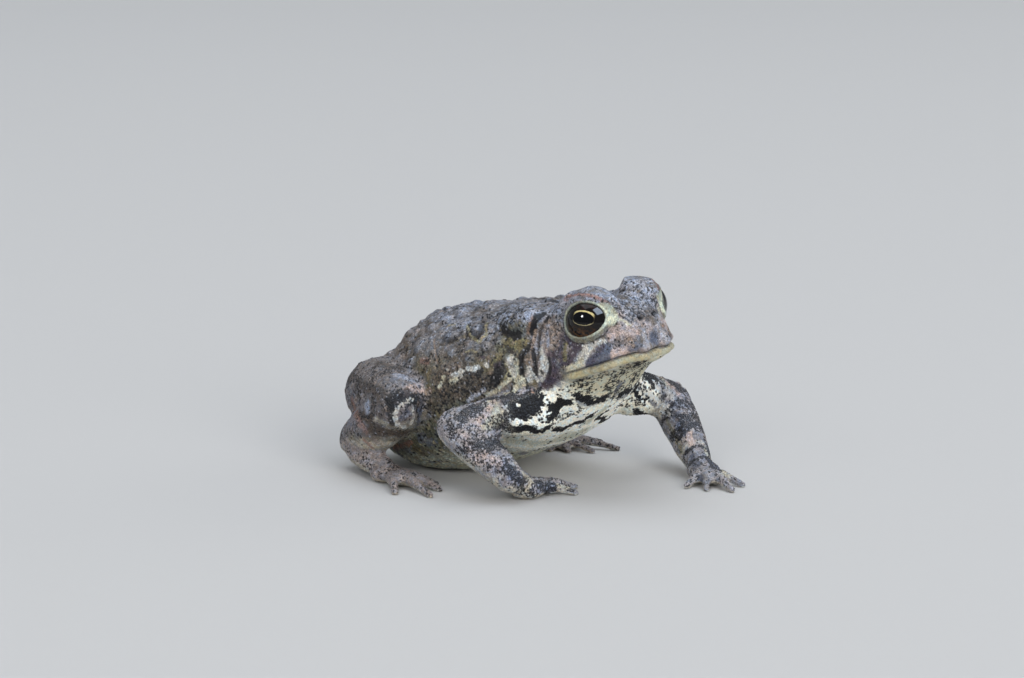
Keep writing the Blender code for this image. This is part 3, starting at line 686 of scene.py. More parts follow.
def other_limb(p, bones):
    """Carries a point from the right limb to the left, bone by bone."""
    right = [Vector(q) for q in bones[-1]]
    left = [Vector((-q[0], q[1], q[2])) for q in bones[1]]
    best = None
    for k in range(len(right) - 1):
        a, b = right[k], right[k + 1]
        t = min(1.0, max(0.0, (p - a).dot(b - a) / (b - a).length_squared))
        gap = (p - a.lerp(b, t)).length
        if best is None or gap < best[0]:
            best = (gap, k, t)
    _, k, t = best
    turn = (right[k + 1] - right[k]).rotation_difference(left[k + 1] - left[k])
    moved = left[k].lerp(left[k + 1], t) + turn @ (p - right[k].lerp(right[k + 1], t))
    return Vector((-moved.x, moved.y, moved.z))


MIRRORS = {"head": across_head, "trunk": across_trunk,
           "arm": lambda p: other_limb(p, ARM_BONES), "leg": lambda p: other_limb(p, LEG_BONES)}
wander = random.Random(5)


def mirrored(path, part):
    shift = Vector([wander.uniform(-0.35, 0.35) for _ in range(3)])
    return [skin_tree.find_nearest(MIRRORS[part](p) + shift)[0] for p in path]


print("pixel 585,318 lies at", [round(v, 1) for v in on_skin(585, 318)])

# %% How near the skin is to a path
def near_path(path, half_width, reach=2.2):
    """The skin points near a path, with 1 on the path and 0 at half_width from it."""
    path = np.array([tuple(p) for p in path])
    if len(path) == 1:
        path = np.repeat(path, 2, axis=0)
    margin = reach * half_width
    near = np.flatnonzero(((co > path.min(0) - margin) & (co < path.max(0) + margin)).all(1))
    p = co[near]
    gap = np.full(len(near), 99.0)
    for a, b in zip(path[:-1], path[1:]):
        ab = b - a
        if ab @ ab > 9.0:
            continue
        t = np.clip(((p - a) @ ab) / max(ab @ ab, 1e-9), 0, 1)
        gap = np.minimum(gap, np.linalg.norm(p - (a + t[:, None] * ab), axis=1))
    close = gap < margin
    return near[close], 1 - gap[close] / half_width


def both_sides(part, pixels):
    """The path that the photograph shows, and its twin on the other side unless part is *."""
    path = traced(pixels)
    return [path] if part == "*" else [path, mirrored(path, part)]


# %% [markdown]
# ## Folds
# Loose skin hangs in folds behind the jaw, round the armpit and over the eyelids. Each fold is
# a narrow groove with a soft roll beside it. Folds, warts and markings are kept as small tables,
# which are easy to read and to change. A row of this one gives the part that carries the fold,
# its half width and depth in millimetres and, after the bar, the pixels that it passes through.

# %% Press the folds in
def read_rows(table):
    """Reads a table: words and numbers, a bar, then the pixels that a path passes through."""
    rows = []
    for line in table.strip().splitlines():
        values, pixels = line.split("|")
        values = [float(v) if v[0].isdigit() else v for v in values.split()]
        rows.append((*values, [tuple(float(n) for n in pair.split(",")) for pair in pixels.split()]))
    return rows


FOLDS = read_rows("""
head 0.45 0.26 | 545,322 540,333 538,343 539,354 538,364
head 0.45 0.22 | 534,346 534,356 535.5,368 540,380
head 0.45 0.14 | 553,328 554.5,339 552,356 553,372
trunk 0.55 0.26 | 529,346 522,356 519,366 523,377 528,387
trunk 0.5 0.26 | 513,378 510,390 496,393 478,400
trunk 0.5 0.2 | 508,370 503,382 490,390
trunk 0.6 0.15 | 503,384 482,390 460,401
trunk 0.7 0.15 | 437,322 434,345 437,368 433,390
arm 0.5 0.16 | 452,434 462,428 472,428
arm 0.45 0.15 | 496,424 504,436 508,450
arm 0.45 0.14 | 505,470 512,480 524,486
trunk 0.6 0.14 | 600,414 612,402 622,392
trunk 0.7 0.12 | 585,428 560,440 530,446
head 0.5 0.15 | 560,376 590,374 622,370 650,359
leg 0.5 0.14 | 378,428 392,436 408,436
leg 0.5 0.14 | 362,420 366,436 376,446
""")
for part, half_width, depth, pixels in FOLDS:
    for line in both_sides(part, pixels):
        near, field = near_path(line, half_width, 4.5)
        p = co[near]
        ends = np.minimum(np.linalg.norm(p - np.array(line[0]), axis=1),
                          np.linalg.norm(p - np.array(line[-1]), axis=1))
        t = 1 - field + 0.5 * drift(p, 1.6, 9)
        fade = step_up(ends, 0.2, 2.4) * (0.75 + 0.45 * drift(p, 2.2, 12))
        relief[near] += fade * (-depth * bell(t, 0, 0.5)
                                + 0.5 * depth * bell(t, 1.35, 0.6))
print(len(FOLDS), "folds, each on both sides")

# %% Loosen the skin into soft lumps
loose = (np.clip(trunk_mask + 0.6 * limb_mask + 0.5 * gland_mask, 0, 1)
         * (1 - 0.6 * below_mouth * chest_mask))
relief += loose * (0.16 * mottle(co, 2.6, 31) + 0.07 * mottle(co, 1.1, 35))
relief += 0.05 * face_mask * step_up(lid_gap, 1.2, 2.0) * mottle(co, 1.2, 39)
print("lumps on", round(float(loose.mean()), 2), "of the skin")

# %% [markdown]
# ## Warts
# Big warts stand on the back, smaller ones between them and on the limbs. The ones that the
# photograph shows clearly are placed by their pixels. The rest are strewn by a seeded draw
# that keeps its distance, so that none overlap. Each is a low dome with a faint moat.

# %% Strew the warts
SHOWN_WARTS = read_rows("""
1.6 0.6 | 476.6,329.5
1.4 0.5 | 451,336
1.9 0.6 | 463,311
1.9 0.7 | 493,306
1.6 0.6 | 446,319
1.6 0.5 | 420,344
1.4 0.5 | 433,327
1 0.3 | 512,306
0.5 0.3 | 498.6,327.3
1 0.35 | 469,359
1.1 0.35 | 452,353
1.4 0.45 | 400,358
0.9 0.3 | 486,347
1.1 0.4 | 411,362
""")
warts = [(on_skin(*pixel), radius, height, True) for radius, height, (pixel,) in SHOWN_WARTS]
draw = random.Random(8)
open_skin = {
    "big": np.flatnonzero((trunk_mask > 0.6) & (smooth_normal[:, 2] > 0.25) & (co[:, 1] > -6)
                          & (gland_mask < 0.05)),
    "small": np.flatnonzero((trunk_mask > 0.6) & (smooth_normal[:, 2] > -0.25)
                            & (gland_mask < 0.3)),
    "limb": np.flatnonzero((np.maximum(arm_mask, leg_mask) > 0.6) & (smooth_normal[:, 2] > -0.1)),
    "head": np.flatnonzero((face_mask > 0.6) & (lid_gap > 2.0) & (from_mouth > 2.5)),
}
WART_KINDS = (("big", 34, (1.0, 1.8), (0.34, 0.6)), ("small", 170, (0.42, 0.8), (0.14, 0.3)),
              ("limb", 130, (0.4, 0.85), (0.12, 0.26)), ("head", 26, (0.3, 0.48), (0.06, 0.12)))
for kind, count, radii, heights in WART_KINDS:
    for _ in range(count * 6):
        if count == 0:
            break
        at = Vector(co[draw.choice(open_skin[kind])])
        radius = draw.uniform(*radii)
        if any((at - w[0]).length < 1.25 * (radius + w[1]) for w in warts):
            continue
        warts.append((at, radius, draw.uniform(*heights), kind == "big"))
        count -= 1
print(len(warts), "warts")

# %% Raise the warts
wart_ring = np.full(len(co), 9.0)
wart_top = np.zeros(len(co))
wart_big = np.zeros(len(co))
wart_luck = np.zeros(len(co))
for at, radius, height, big in warts:
    near = np.flatnonzero((np.abs(co - np.array(at)) < 2.6 * radius).all(1))
    p = co[near]
    lean = Vector((draw.gauss(0, 1), draw.gauss(0, 1), draw.gauss(0, 1))).normalized()
    away = p - np.array(at)
    long_way = away @ np.array(lean)
    t = np.sqrt(np.maximum((away ** 2).sum(1) - 0.4 * long_way ** 2, 0)) / radius
    t = t * (1 + 0.2 * drift(p, 0.8 * radius, 3)) + 0.08 * drift(p, 0.5, 4)
    dome = np.clip(1 - t * t, 0, 1) ** 1.4
    relief[near] += height * dome - 0.14 * height * bell(t, 1.15, 0.2)
    closer = t < wart_ring[near]
    wart_ring[near[closer]] = t[closer]
    wart_big[near[closer]] = float(big)
    wart_luck[near[closer]] = draw.random()
    wart_top[near] = np.maximum(wart_top[near], dome)
print("skin on warts", round(float((wart_top > 0.1).mean()), 3))

# %% [markdown]
# ## Granules
# Between the warts the skin is cobbled: pearls half a millimetre wide on the chest and belly,
# finer grains on the back and the limbs, and the finest on the snout. Grain centres are strewn
# over the skin, and each point of the skin learns which grain it belongs to and how far it is
# from that grain's edge. That gives a true relief, and later lets each grain have its colour.

# %% Strew the grain centres
under = step_up(-smooth_normal[:, 2], -0.1, 0.45)
belly_mask = np.clip(trunk_mask * under * (1 - chest_mask), 0, 1)
GRAIN_CLASSES = (0.34, 0.42, 0.5, 0.6)
grain_wish = (0.44 + 0.1 * chest_mask + 0.14 * belly_mask - 0.12 * face_mask * (1 - chest_mask)
              - 0.06 * limb_mask - 0.06 * end_mask - 0.12 * throat_mask)
grain_class = np.abs(grain_wish[:, None] - np.array(GRAIN_CLASSES)).argmin(axis=1)
dice = np.random.default_rng(21)
centres = []
for k, size in enumerate(GRAIN_CLASSES):
    members = np.flatnonzero(grain_class == k)
    dice.shuffle(members)
    cube = np.floor(co[members] / (size * 0.92) + 0.37).astype(np.int64)
    centres.extend(members[np.unique(cube_codes(cube), return_index=True)[1]])
centres = np.array(centres)
sizes = np.array(GRAIN_CLASSES)[grain_class[centres]]
crowd = tree_of(co[centres])
kept = np.ones(len(centres), dtype=bool)
for i, c in enumerate(centres):
    if kept[i]:
        for _, j, gap in crowd.find_range(co[c], 0.5 * sizes[i]):
            if j != i and j > i:
                kept[j] = False
centres = centres[kept]
print(len(centres), "grains")

# %% Find each point's grain
tree = tree_of(co[centres])
grain = np.empty(len(co), dtype=np.int64)
first, second = np.empty(len(co)), np.empty(len(co))
for i, p in enumerate(co):
    (_, grain[i], first[i]), (_, _, second[i]) = tree.find_n(p, 2)
dome = 1 - (1 - (second - first) / np.maximum(second + first, 1e-6)) ** 2
grain_luck = dice.random(len(centres))[grain]
grain_tone = dice.random(len(centres))[grain]
plain = np.clip(step_up(0.8 - lid_gap, 0.0, 0.3)
                + lip_share * step_up(-np.abs(from_mouth + 0.2), -1.5, -1.1), 0, 1)
grain_height = (0.085 + 0.08 * chest_mask + 0.04 * belly_mask + 0.045 * limb_mask
                - 0.02 * face_mask * (1 - chest_mask))
grain_height = soften(grain_height * (1 - 0.85 * plain), pairs, 4)
relief += grain_height * (dome - 0.5) * (0.6 + 0.8 * grain_tone)
print("grain height up to", round(float(grain_height.max()), 3), "mm")

# %% [markdown]
# ## Tones
# The ground colours were matched: a bluish lilac on the head and back, partly their own tint and
# partly painted sky light where they face up; brown stone on the sides, olive and moss low on the
# flank, the moss partly painted shade there, ash on the limbs, greenish cream on the belly and pearl on the
# chest.

# %% Name the tones and lay the ground
TONES = {
    "stone": (0.140, 0.119, 0.098), "haze": (0.345, 0.385, 0.480), "umber": (0.060, 0.048, 0.040),
    "olive": (0.170, 0.150, 0.060), "moss": (0.085, 0.094, 0.072), "belly": (0.50, 0.52, 0.42),
    "pearl": (0.88, 0.91, 0.84), "throat": (0.50, 0.48, 0.35), "cream": (0.50, 0.485, 0.375),
    "white": (0.53, 0.54, 0.52), "pink": (0.54, 0.44, 0.415), "rust": (0.29, 0.160, 0.130),
    "orange": (0.34, 0.140, 0.055), "black": (0.010, 0.010, 0.012), "slate": (0.095, 0.108, 0.150),
    "blue": (0.130, 0.160, 0.240), "plum": (0.062, 0.046, 0.066), "yellow": (0.42, 0.37, 0.20),
    "lid": (0.62, 0.68, 0.56), "ash": (0.385, 0.400, 0.455), "warm": (0.300, 0.232, 0.185),
    "lip": (0.40, 0.375, 0.255), "shade": (0.195, 0.195, 0.150),
}
paint = np.tile(np.array(TONES["stone"]), (len(co), 1))


def lay(tone, amount, where=slice(None)):
    """Mixes a tone into the paint by the given amount."""
    share = np.clip(amount, 0, 1)
    share = share[:, None] if np.ndim(share) else share
    paint[where] += (np.array(TONES[tone]) - paint[where]) * share


wide = mottle(co, 6.0, 50)
middle = mottle(co, 2.4, 60)
ragged = mottle(co, 0.9, 70)
facing_up = step_up(smooth_normal[:, 2], 0.1, 0.9)
small = mottle(co, 0.45, 80)
lay("umber", 0.6 * step_up(middle, 0.0, 0.5))
# Darker where the trunk turns from the sky: partly its own darker flank, partly painted shade.
lay("umber", 0.3 * trunk_mask * (1 - facing_up))
lay("olive", 0.55 * trunk_mask * (1 - facing_up) * step_up(wide + 0.5 * small, -0.2, 0.5))
lay("warm", 0.5 * trunk_mask * step_up(-wide + 0.6 * ragged, 0.1, 0.6))
# Bluish tone where the trunk faces up: partly the skin's own lilac, partly painted sky light.
lay("haze", 0.62 * trunk_mask * facing_up ** 1.7 * step_up(wide + 0.6 * ragged, -0.7, 0.5))
lay("haze", 0.9 * gland_mask * step_up(ragged + 0.6 * middle, -0.6, 0.5))
# On the head the bluish tone also grows where the skin faces up: partly painted sky light.
lay("haze", (0.55 + 0.45 * facing_up) * face_mask * step_up(ragged + 0.6 * middle, -0.9, 0.4))
lay("warm", 0.6 * face_mask * (1 - facing_up) * step_up(middle + 0.5 * ragged, -0.1, 0.5))
lay("pink", 0.5 * face_mask * (1 - facing_up) * step_up(wide + 0.7 * ragged, -0.3, 0.5)
    * step_up(forward, -3.0, 2.0))
lay("ash", limb_mask * (0.5 + 0.4 * step_up(middle + 0.4 * ragged, -0.5, 0.4)) * (1 - 0.35 * leg_mask))
lay("pink", 0.22 * limb_mask * step_up(wide + 0.6 * middle, 0.0, 0.5))
lay("blue", 0.3 * limb_mask * step_up(wide - 0.7 * middle, 0.0, 0.5))
lay("warm", 0.3 * limb_mask * step_up(-wide + 0.6 * middle, 0.1, 0.6))
lay("warm", 0.45 * masks["foot"])
# Moss low on the flank, where the skin faces down: partly its own colour, partly painted shade near the
# floor.
lay("moss", 0.8 * trunk_mask * (1 - chest_mask) * step_up(0.35 - smooth_normal[:, 2], 0.0, 0.45)
    * step_up(middle + 0.5 * ragged, -0.8, 0.2))
lay("belly", belly_mask * step_up(-smooth_normal[:, 2] + 0.3 * middle, 0.42, 0.85))
lay("slate", 0.75 * belly_mask * step_up(middle + 0.6 * ragged, 0.25, 0.55))
lay("yellow", 0.5 * belly_mask * step_up(ragged + 0.5 * small, 0.3, 0.6))
lay("umber", 0.25 * leg_mask + 0.5 * leg_mask * step_up(middle + 0.3 * ragged, 0.1, 0.4))
lay("pearl", chest_mask)
lay("throat", 0.9 * throat_mask * step_up(-from_mouth, 1.0, 2.0))
lay("cream", 0.55 * limb_mask * under * step_up(0.5 * middle - smooth_normal[:, 2], 0.15, 0.6))
# Umber on the underside of the legs: painted shade near the floor.
lay("umber", 0.5 * leg_mask * under)
print("tones", len(TONES))

# %% [markdown]
# ## Markings
# Each row names the part that carries the marking, its tone, its half width in millimetres,
# how far it covers, how soft its edge is and, after the bar, the pixels it passes through. Rows
# that start with a star lie only where the photograph shows them. The rows of GRAINS don't tint
# the skin evenly. They give a half width and the share of single grains that turn black along
# the path, and that makes the stippled bands.

# %% The markings of head and trunk
# The black row at pixels 638.5,316.5 to 642,318 is a painted shade in the nostril's opening.
FACE_MARKS = read_rows("""
head haze 0.8 0.9 0.8 | 562,294 573,288 590,285.5 606,291 616,299
head rust 0.62 0.85 0.8 | 565,298 570,296.4 577.3,294.6 586.3,294.8 593,296 599.6,298.4 606.3,302 610.5,304.8
head orange 0.4 0.35 0.7 | 565.5,300.5 569.5,299
head white 0.6 0.8 0.7 | 610.5,317 613,320 611.5,324.5
head black 0.28 0.9 0.4 | 606,304 610,306 613,308
head cream 0.34 0.85 0.4 | 617.5,318.5 624,321 630.5,325.5
head black 0.2 0.9 0.4 | 619.5,315 626,318.5 631.5,322.8
head umber 0.85 0.6 0.7 | 632,314 640,312.5 646,318
head black 0.5 0.97 0.5 | 638.5,316.5 642,318
head black 0.4 0.85 0.5 | 611.8,293.3 613,294
head black 0.5 0.85 0.5 | 620,292 624,290
head black 0.25 0.85 0.4 | 652.5,300.5 658.5,296
head orange 0.55 0.35 0.6 | 638,333.5
head pink 1.5 0.55 0.7 | 612,337 624,334 634,331
head pink 1.3 0.7 0.7 | 613,354 620,351 628,348
head umber 1.2 0.5 0.6 | 618,342 630,341 640,347
head plum 1 0.85 0.4 | 561,337 559,347 561,356 565,365
head plum 1 0.95 0.35 | 566,336 574,342 579,346 572,354 568,364
head olive 0.5 0.8 0.5 | 565,344 565,351 565,360
head slate 1.3 0.95 0.25 | 605,347 601,352 598,357 592,364
head slate 0.95 0.92 0.25 | 606.5,350 606,357 602,362
head plum 0.6 0.6 0.4 | 603,346 597,354 589,364
head white 0.62 0.97 0.25 | 603,341 597,342 590,345
head white 1 1 0.25 | 590,346 585,351.5 581.5,358 580,365
head cream 0.9 0.95 0.25 | 580,362 576,367 569,371 563,371.5
head slate 0.85 0.75 0.4 | 631,349 637,346
head ash 0.85 0.8 0.8 | 643,337 645,342 644.5,346
head slate 0.8 0.85 0.7 | 654,333 656,337 653,342
head ash 0.75 0.85 0.8 | 659,326 662.5,332 665,338 666,342
head warm 0.5 0.8 0.4 | 669,330 672,340
head black 0.2 0.85 0.4 | 559,324 563,331 571,337 582,341 592,341.5 600,337
head orange 0.6 0.35 0.8 | 533,318 529,326 529,333
head warm 1.6 0.75 0.5 | 549,324 548.5,334 549,345
head haze 0.7 0.6 0.6 | 548,327 547,336 548,344
head warm 1.1 0.6 0.6 | 558,326 557,338 554,348
head black 0.66 0.98 0.3 | 543,314 537,317.5 534,323 532.5,332
head black 0.4 0.95 0.35 | 548.5,316.5 545.5,322
head umber 0.3 0.95 0.4 | 543,325 539.5,333.5 538,343 539,353 538,362
head warm 0.4 0.8 0.4 | 536,331 534,340 532,350 531,366
head black 0.55 0.95 0.35 | 533.5,352 535.5,366 535,376
head plum 1.5 0.85 0.4 | 552,356 551,366 551,376 547,384
head black 0.45 0.85 0.4 | 549,358 550.5,368 549,380
head white 0.5 0.97 0.3 | 541,349.5 542.5,357 542.5,367 540.5,374
head white 0.42 0.93 0.3 | 545.5,358 547.3,364 545.3,374 541.5,380
head black 0.28 0.9 0.35 | 541,371 543,374
head white 0.66 0.97 0.3 | 529.5,369 528.5,374.5 530.5,381
head white 0.28 0.85 0.35 | 531,371 536,378 538,381
head orange 0.42 0.85 0.5 | 532,391 533.5,393
head plum 2 0.7 0.5 | 560,374 556,381
head moss 1.4 0.5 0.6 | 566,380 585,376 600,372
trunk black 0.5 0.9 0.4 | 551,300.5 558,302.5
""")
# The wide umber band low on the flank, from pixel 434,404 to 492,384, is partly a painted shade between the
# knee and the arm.
TRUNK_MARKS = read_rows("""
trunk olive 1.6 0.75 0.6 | 506,339 514,344 524,344
trunk olive 1.4 0.6 0.6 | 500,345 506,356 497,358
trunk yellow 0.3 0.75 0.4 | 527.5,345 519.5,352
trunk yellow 0.35 0.6 0.5 | 512,338.5 520,339 526,341
trunk black 0.9 0.98 0.3 | 503,328.5 508,333 515,335.5 518.5,334
trunk black 0.5 0.85 0.4 | 507,347 511,352
trunk white 0.36 0.97 0.35 | 498.6,327.3
trunk black 0.32 0.9 0.4 | 505.5,309.5 502,314.5
trunk slate 1 0.7 0.6 | 486,305 492,306
trunk black 0.66 0.97 0.35 | 482.3,322 483.2,331 477.5,338.5 471.5,331.5
trunk yellow 0.36 0.75 0.5 | 486.5,323 486,336 479,342 470.4,336 467.4,325
trunk black 0.75 0.92 0.5 | 447,340 451.5,341 455,339
trunk yellow 0.3 0.6 0.5 | 448,325 455,324.5
trunk yellow 0.25 0.55 0.5 | 466,352 471,350 476,352
trunk plum 0.4 0.8 0.5 | 480,357 484,357.5
trunk rust 0.9 0.6 0.6 | 422,361 427,362
trunk warm 0.3 0.7 0.5 | 433.7,339 435,350 437,363
trunk umber 2.3 0.55 0.6 | 434,404 452,392 472,385 492,384
trunk black 0.8 0.95 0.35 | 530,346 523.5,353 519.5,363 522,374 524.5,383
trunk cream 1.2 0.97 0.3 | 511.5,361 513,368 514.5,376 519,383
trunk white 0.7 0.8 0.5 | 510.5,360 512.5,368 514,374
trunk black 1.25 0.98 0.3 | 500.5,366 499,372 495,380
trunk plum 0.5 0.6 0.4 | 495,365.5 500,364.5
trunk cream 0.42 0.9 0.3 | 509,379 498,389.5 487,395
trunk cream 0.45 0.9 0.3 | 522,385 514,391.5 506,394
trunk yellow 0.25 0.7 0.4 | 504.6,361.6 508,370.7 504.6,380
trunk black 0.25 0.9 0.35 | 513,380 510.5,390
trunk black 0.5 0.85 0.4 | 465,372.5 476.5,374.5 481,371
trunk white 0.5 0.9 0.35 | 485,364.3 487,366
trunk white 0.55 0.97 0.3 | 468,368 473,368.6 477.8,367
trunk white 0.85 0.95 0.3 | 461,373 456.5,374.5
trunk cream 0.6 0.9 0.35 | 456,379 452,381.5
trunk white 0.28 0.8 0.4 | 446.7,369.6
trunk cream 0.42 0.85 0.35 | 444,377 439.5,387
trunk warm 0.7 0.9 0.4 | 430,390 427,395
trunk ash 0.5 0.75 0.4 | 484,389.5 476,395 468,401
""")
CHEST_MARKS = read_rows("""
trunk slate 1 0.7 0.5 | 579,400 588,405 600,402
trunk slate 0.6 0.7 0.4 | 615,392 619,386 624,382
trunk belly 2.2 0.8 0.8 | 512,440 535,444 560,440 585,430
trunk slate 1 0.85 0.5 | 520,453 527,454
trunk belly 0.9 0.7 0.5 | 584,424 596,416 606,408
trunk slate 0.45 0.7 0.4 | 612,400 618,394
""")
print("named markings", len(FACE_MARKS) + len(TRUNK_MARKS) + len(CHEST_MARKS))

# %% The markings of the limbs
# The wide umber row from pixel 372,430 to 404,434 is a painted shadow between the thigh and the foot.
LIMB_MARKS = read_rows("""
arm cream 1.5 0.75 0.6 | 491,402 496,410 498,419 488,425
arm pink 0.8 0.75 0.6 | 477,424 487,412 494,400
arm pink 1.2 0.5 0.8 | 466,438 470,452 480,462
arm pink 1.1 0.6 0.7 | 484,455 494,461 503,468
arm blue 1.6 0.7 0.7 | 507,468 513,475 519,482
arm cream 0.8 0.6 0.6 | 524,474 531,481 527,489
arm blue 1.3 0.75 0.6 | 540,484 547,489 553,488
arm cream 0.9 0.7 0.6 | 560,486 568,487
leg pink 1.25 0.8 0.5 | 407,392 413,389 419,387
leg black 1.5 0.9 0.4 | 391,400 398,396 408,395.5 417,400 420,408
leg black 0.9 0.85 0.4 | 390,404 390,413 394,423
leg white 0.5 0.8 0.5 | 412,399 405,402 398,407 394.5,416 397,424 405,428
leg white 0.45 0.7 0.6 | 411,424 414,417 413,410
leg slate 0.9 0.75 0.6 | 406,412 403,418
leg haze 0.9 0.8 0.5 | 368,404 368,411
leg haze 1.3 0.6 0.6 | 396,374 408,378 418,383
leg umber 1.3 0.75 0.5 | 357,384 370,388 382,393
leg umber 1 0.75 0.5 | 352,404 360,416 373,421
leg umber 1 0.7 0.5 | 378,362 388,366 398,368
leg slate 0.7 0.8 0.4 | 419,404 420,414 417,426
leg cream 1 0.35 0.8 | 377,419 385,424
leg umber 1.7 0.95 0.6 | 372,430 386,432 404,434
leg haze 0.8 0.7 0.6 | 365,404 368,410
leg umber 0.9 0.6 0.6 | 378,399 384,410 380,416
leg rust 1 0.5 0.7 | 352,400 357,418 366,432
leg rust 0.6 0.8 0.5 | 384,452 396,448 410,442
leg rust 0.6 0.7 0.5 | 364,440 372,448
""")
FAR_MARKS = read_rows("""
* white 1.1 0.8 0.5 | 640,388 650,396 660,404 668,413
* haze 1.5 0.6 0.7 | 655,383 672,394 682,404
* slate 1.1 0.85 0.5 | 676,416 680,426 684,434
* pink 0.9 0.7 0.5 | 689,434 692,443
* slate 1 0.85 0.5 | 692,456 696,466
* slate 0.8 0.9 0.4 | 700,477 702,479
* olive 0.7 0.6 0.6 | 667,420 676,438 682,452
* slate 0.6 0.8 0.4 | 650,402 655,405
""")
GRAINS = read_rows("""
trunk 2.3 1 | 509,398 522,400 533,399
trunk 2 1 | 514,410 526,411 535,406
trunk 1.4 1 | 494,424 503,421
trunk 1.4 0.95 | 552,408 560,403 568,402
trunk 1.1 0.9 | 556,413 550,418
trunk 0.95 0.95 | 506,427 516,431 527,428 538,432 549,429 562,430 573,424 584,421 592,415
trunk 1.2 0.85 | 578,396 590,402 604,399
trunk 1 0.5 | 540,420 560,419 580,410
head 2 0.35 | 560,343 559,354 563,364
head 1.6 0.3 | 612,343 626,341 634,345
head 3.2 0.4 | 622,303 634,298 646,305
head 2 0.4 | 560,322 556,314
head 1.6 0.5 | 607,366 628,361 646,354
head 1.8 0.35 | 598,378 620,372
arm 1.6 0.85 | 461,417 474,409 491,399
arm 1.8 0.85 | 470,447 484,446 499,442
arm 1.5 0.8 | 504,466 513,474 523,482
arm 1.5 0.8 | 539,484 549,488
arm 1 0.7 | 450,424 452,434
arm 1.5 0.5 | 462,452 478,462 494,466
arm 1.2 0.7 | 520,492 535,494
trunk 2.4 0.55 | 520,308 507,318 495,316
leg 1.5 0.7 | 392,404 400,399 414,401
leg 1.6 0.4 | 372,376 392,372
trunk 2.4 0.5 | 440,404 462,386 490,382
""")
print("limb markings", len(LIMB_MARKS) + len(FAR_MARKS), "stippled areas", len(GRAINS))

# %% Lay the markings
PALE_TONES = ("white", "cream", "lid", "pink", "ash", "haze", "orange")
around_lid = step_up(1.0 + 0.12 * ragged - lid_gap, 0.0, 0.22)
kept_clear = around_lid.copy()
for part, tone, half_width, cover, soft, pixels in (
        TRUNK_MARKS + CHEST_MARKS + LIMB_MARKS + FAR_MARKS + FACE_MARKS):
    for line in both_sides(part, pixels):
        near, field = near_path(line, half_width)
        edge = field + 0.3 * ragged[near] + 0.3 * small[near]
        amount = cover * step_up(edge, 0.0, soft)
        lay(tone, amount, near)
        if tone in PALE_TONES:
            kept_clear[near] = np.maximum(kept_clear[near], amount)
black_share = np.zeros(len(co))
for part, half_width, share, pixels in GRAINS:
    for line in both_sides(part, pixels):
        near, field = near_path(line, half_width)
        black_share[near] = np.maximum(black_share[near],
                                       share * step_up(field + 0.5 * ragged[near], -0.1, 0.5))
print("skin in stippled areas", round(float((black_share > 0.3).mean()), 3))

# %% Paint the warts, bars on the hidden limbs, lids and lips
big_edge = wart_ring + 0.12 * ragged + 0.1 * small
on_back = trunk_mask * wart_big
low_side = step_up(0.72 - normal[:, 2] + 0.3 * middle, 0.0, 0.5)
lay("umber", 0.55 * on_back * bell(big_edge, 1.15, 0.4) * (0.3 + 0.7 * wart_luck))
# Black on the side of each big wart that faces down: painted shade.
lay("black", 0.9 * on_back * bell(big_edge, 1.0, 0.2) * low_side * step_up(wart_luck, 0.2, 0.7))
lay("yellow", 0.5 * on_back * bell(big_edge, 1.5, 0.14) * low_side * step_up(wart_luck, 0.5, 0.8))
# Bluish tone on the tops of the big warts: a painted highlight of the sky.
lay("haze", 0.3 * wart_top * on_back)
lay("warm", 0.5 * step_up(wart_top, 0.3, 0.8) * (1 - wart_big) * step_up(wide, -0.4, 0.4)
    * (1 - chest_mask))
seen = step_up(normal @ np.array(towards), -0.15, 0.15)
BARS = ((ARM_BONES, arm_mask + masks["hand"], (0.45, 0.9, 1.3, 1.68, 2.1, 2.7)),
        (LEG_BONES, leg_mask + masks["foot"], (0.25, 0.6, 0.95, 1.35, 1.75, 2.35, 2.8, 3.6)))
BAR_HALF = 0.1
for bones, mask, places in BARS:
    for sign in (-1, 1):
        where = along_bones(bones[sign]) + 0.09 * ragged
        hidden = mask * (1 - seen if sign < 0 else 1.0) * (right_half if sign < 0 else ~right_half)
        for place in places:
            bar = hidden * (1 - under) * step_up(1 - np.abs(where - place) / BAR_HALF, 0.0, 0.5)
            black_share = np.maximum(black_share, 0.8 * bar)
            lay("slate", 0.5 * bar)
lay("shade", 0.9 * around_lid)
lay("umber", 0.5 * around_lid * step_up(ragged + small, 0.1, 0.6))
lay("lid", around_lid * lid_share)
lay("umber", 0.8 * bell(lid_gap, 1.1, 0.1) * (lid_gap < 8))
lay("black", 0.85 * step_up(1.03 - lid_field, 0.0, 0.05))
lip_band = lip_share * step_up(-np.abs(from_mouth + 0.8 + 0.1 * ragged), -0.8, -0.5)
lay("lip", 0.95 * lip_band)
lay("yellow", 0.5 * lip_band * step_up(middle, 0.0, 0.5))
lay("umber", 0.3 * lip_band * step_up(ragged + small, 0.2, 0.7))
lay("black", 0.85 * lip_share * bell(from_mouth, 0, 0.17))
# A dark band in the groove under the lower lip: painted shade under the jaw, with some dark grains in it.
shade_under_lip = lip_share * bell(from_mouth, -1.85, 0.4)
lay("umber", 0.6 * shade_under_lip * step_up(middle, -0.6, 0.2))
black_share = np.maximum(black_share, 0.75 * shade_under_lip * step_up(middle, -0.3, 0.4))
print("painted warts, lids and lips")

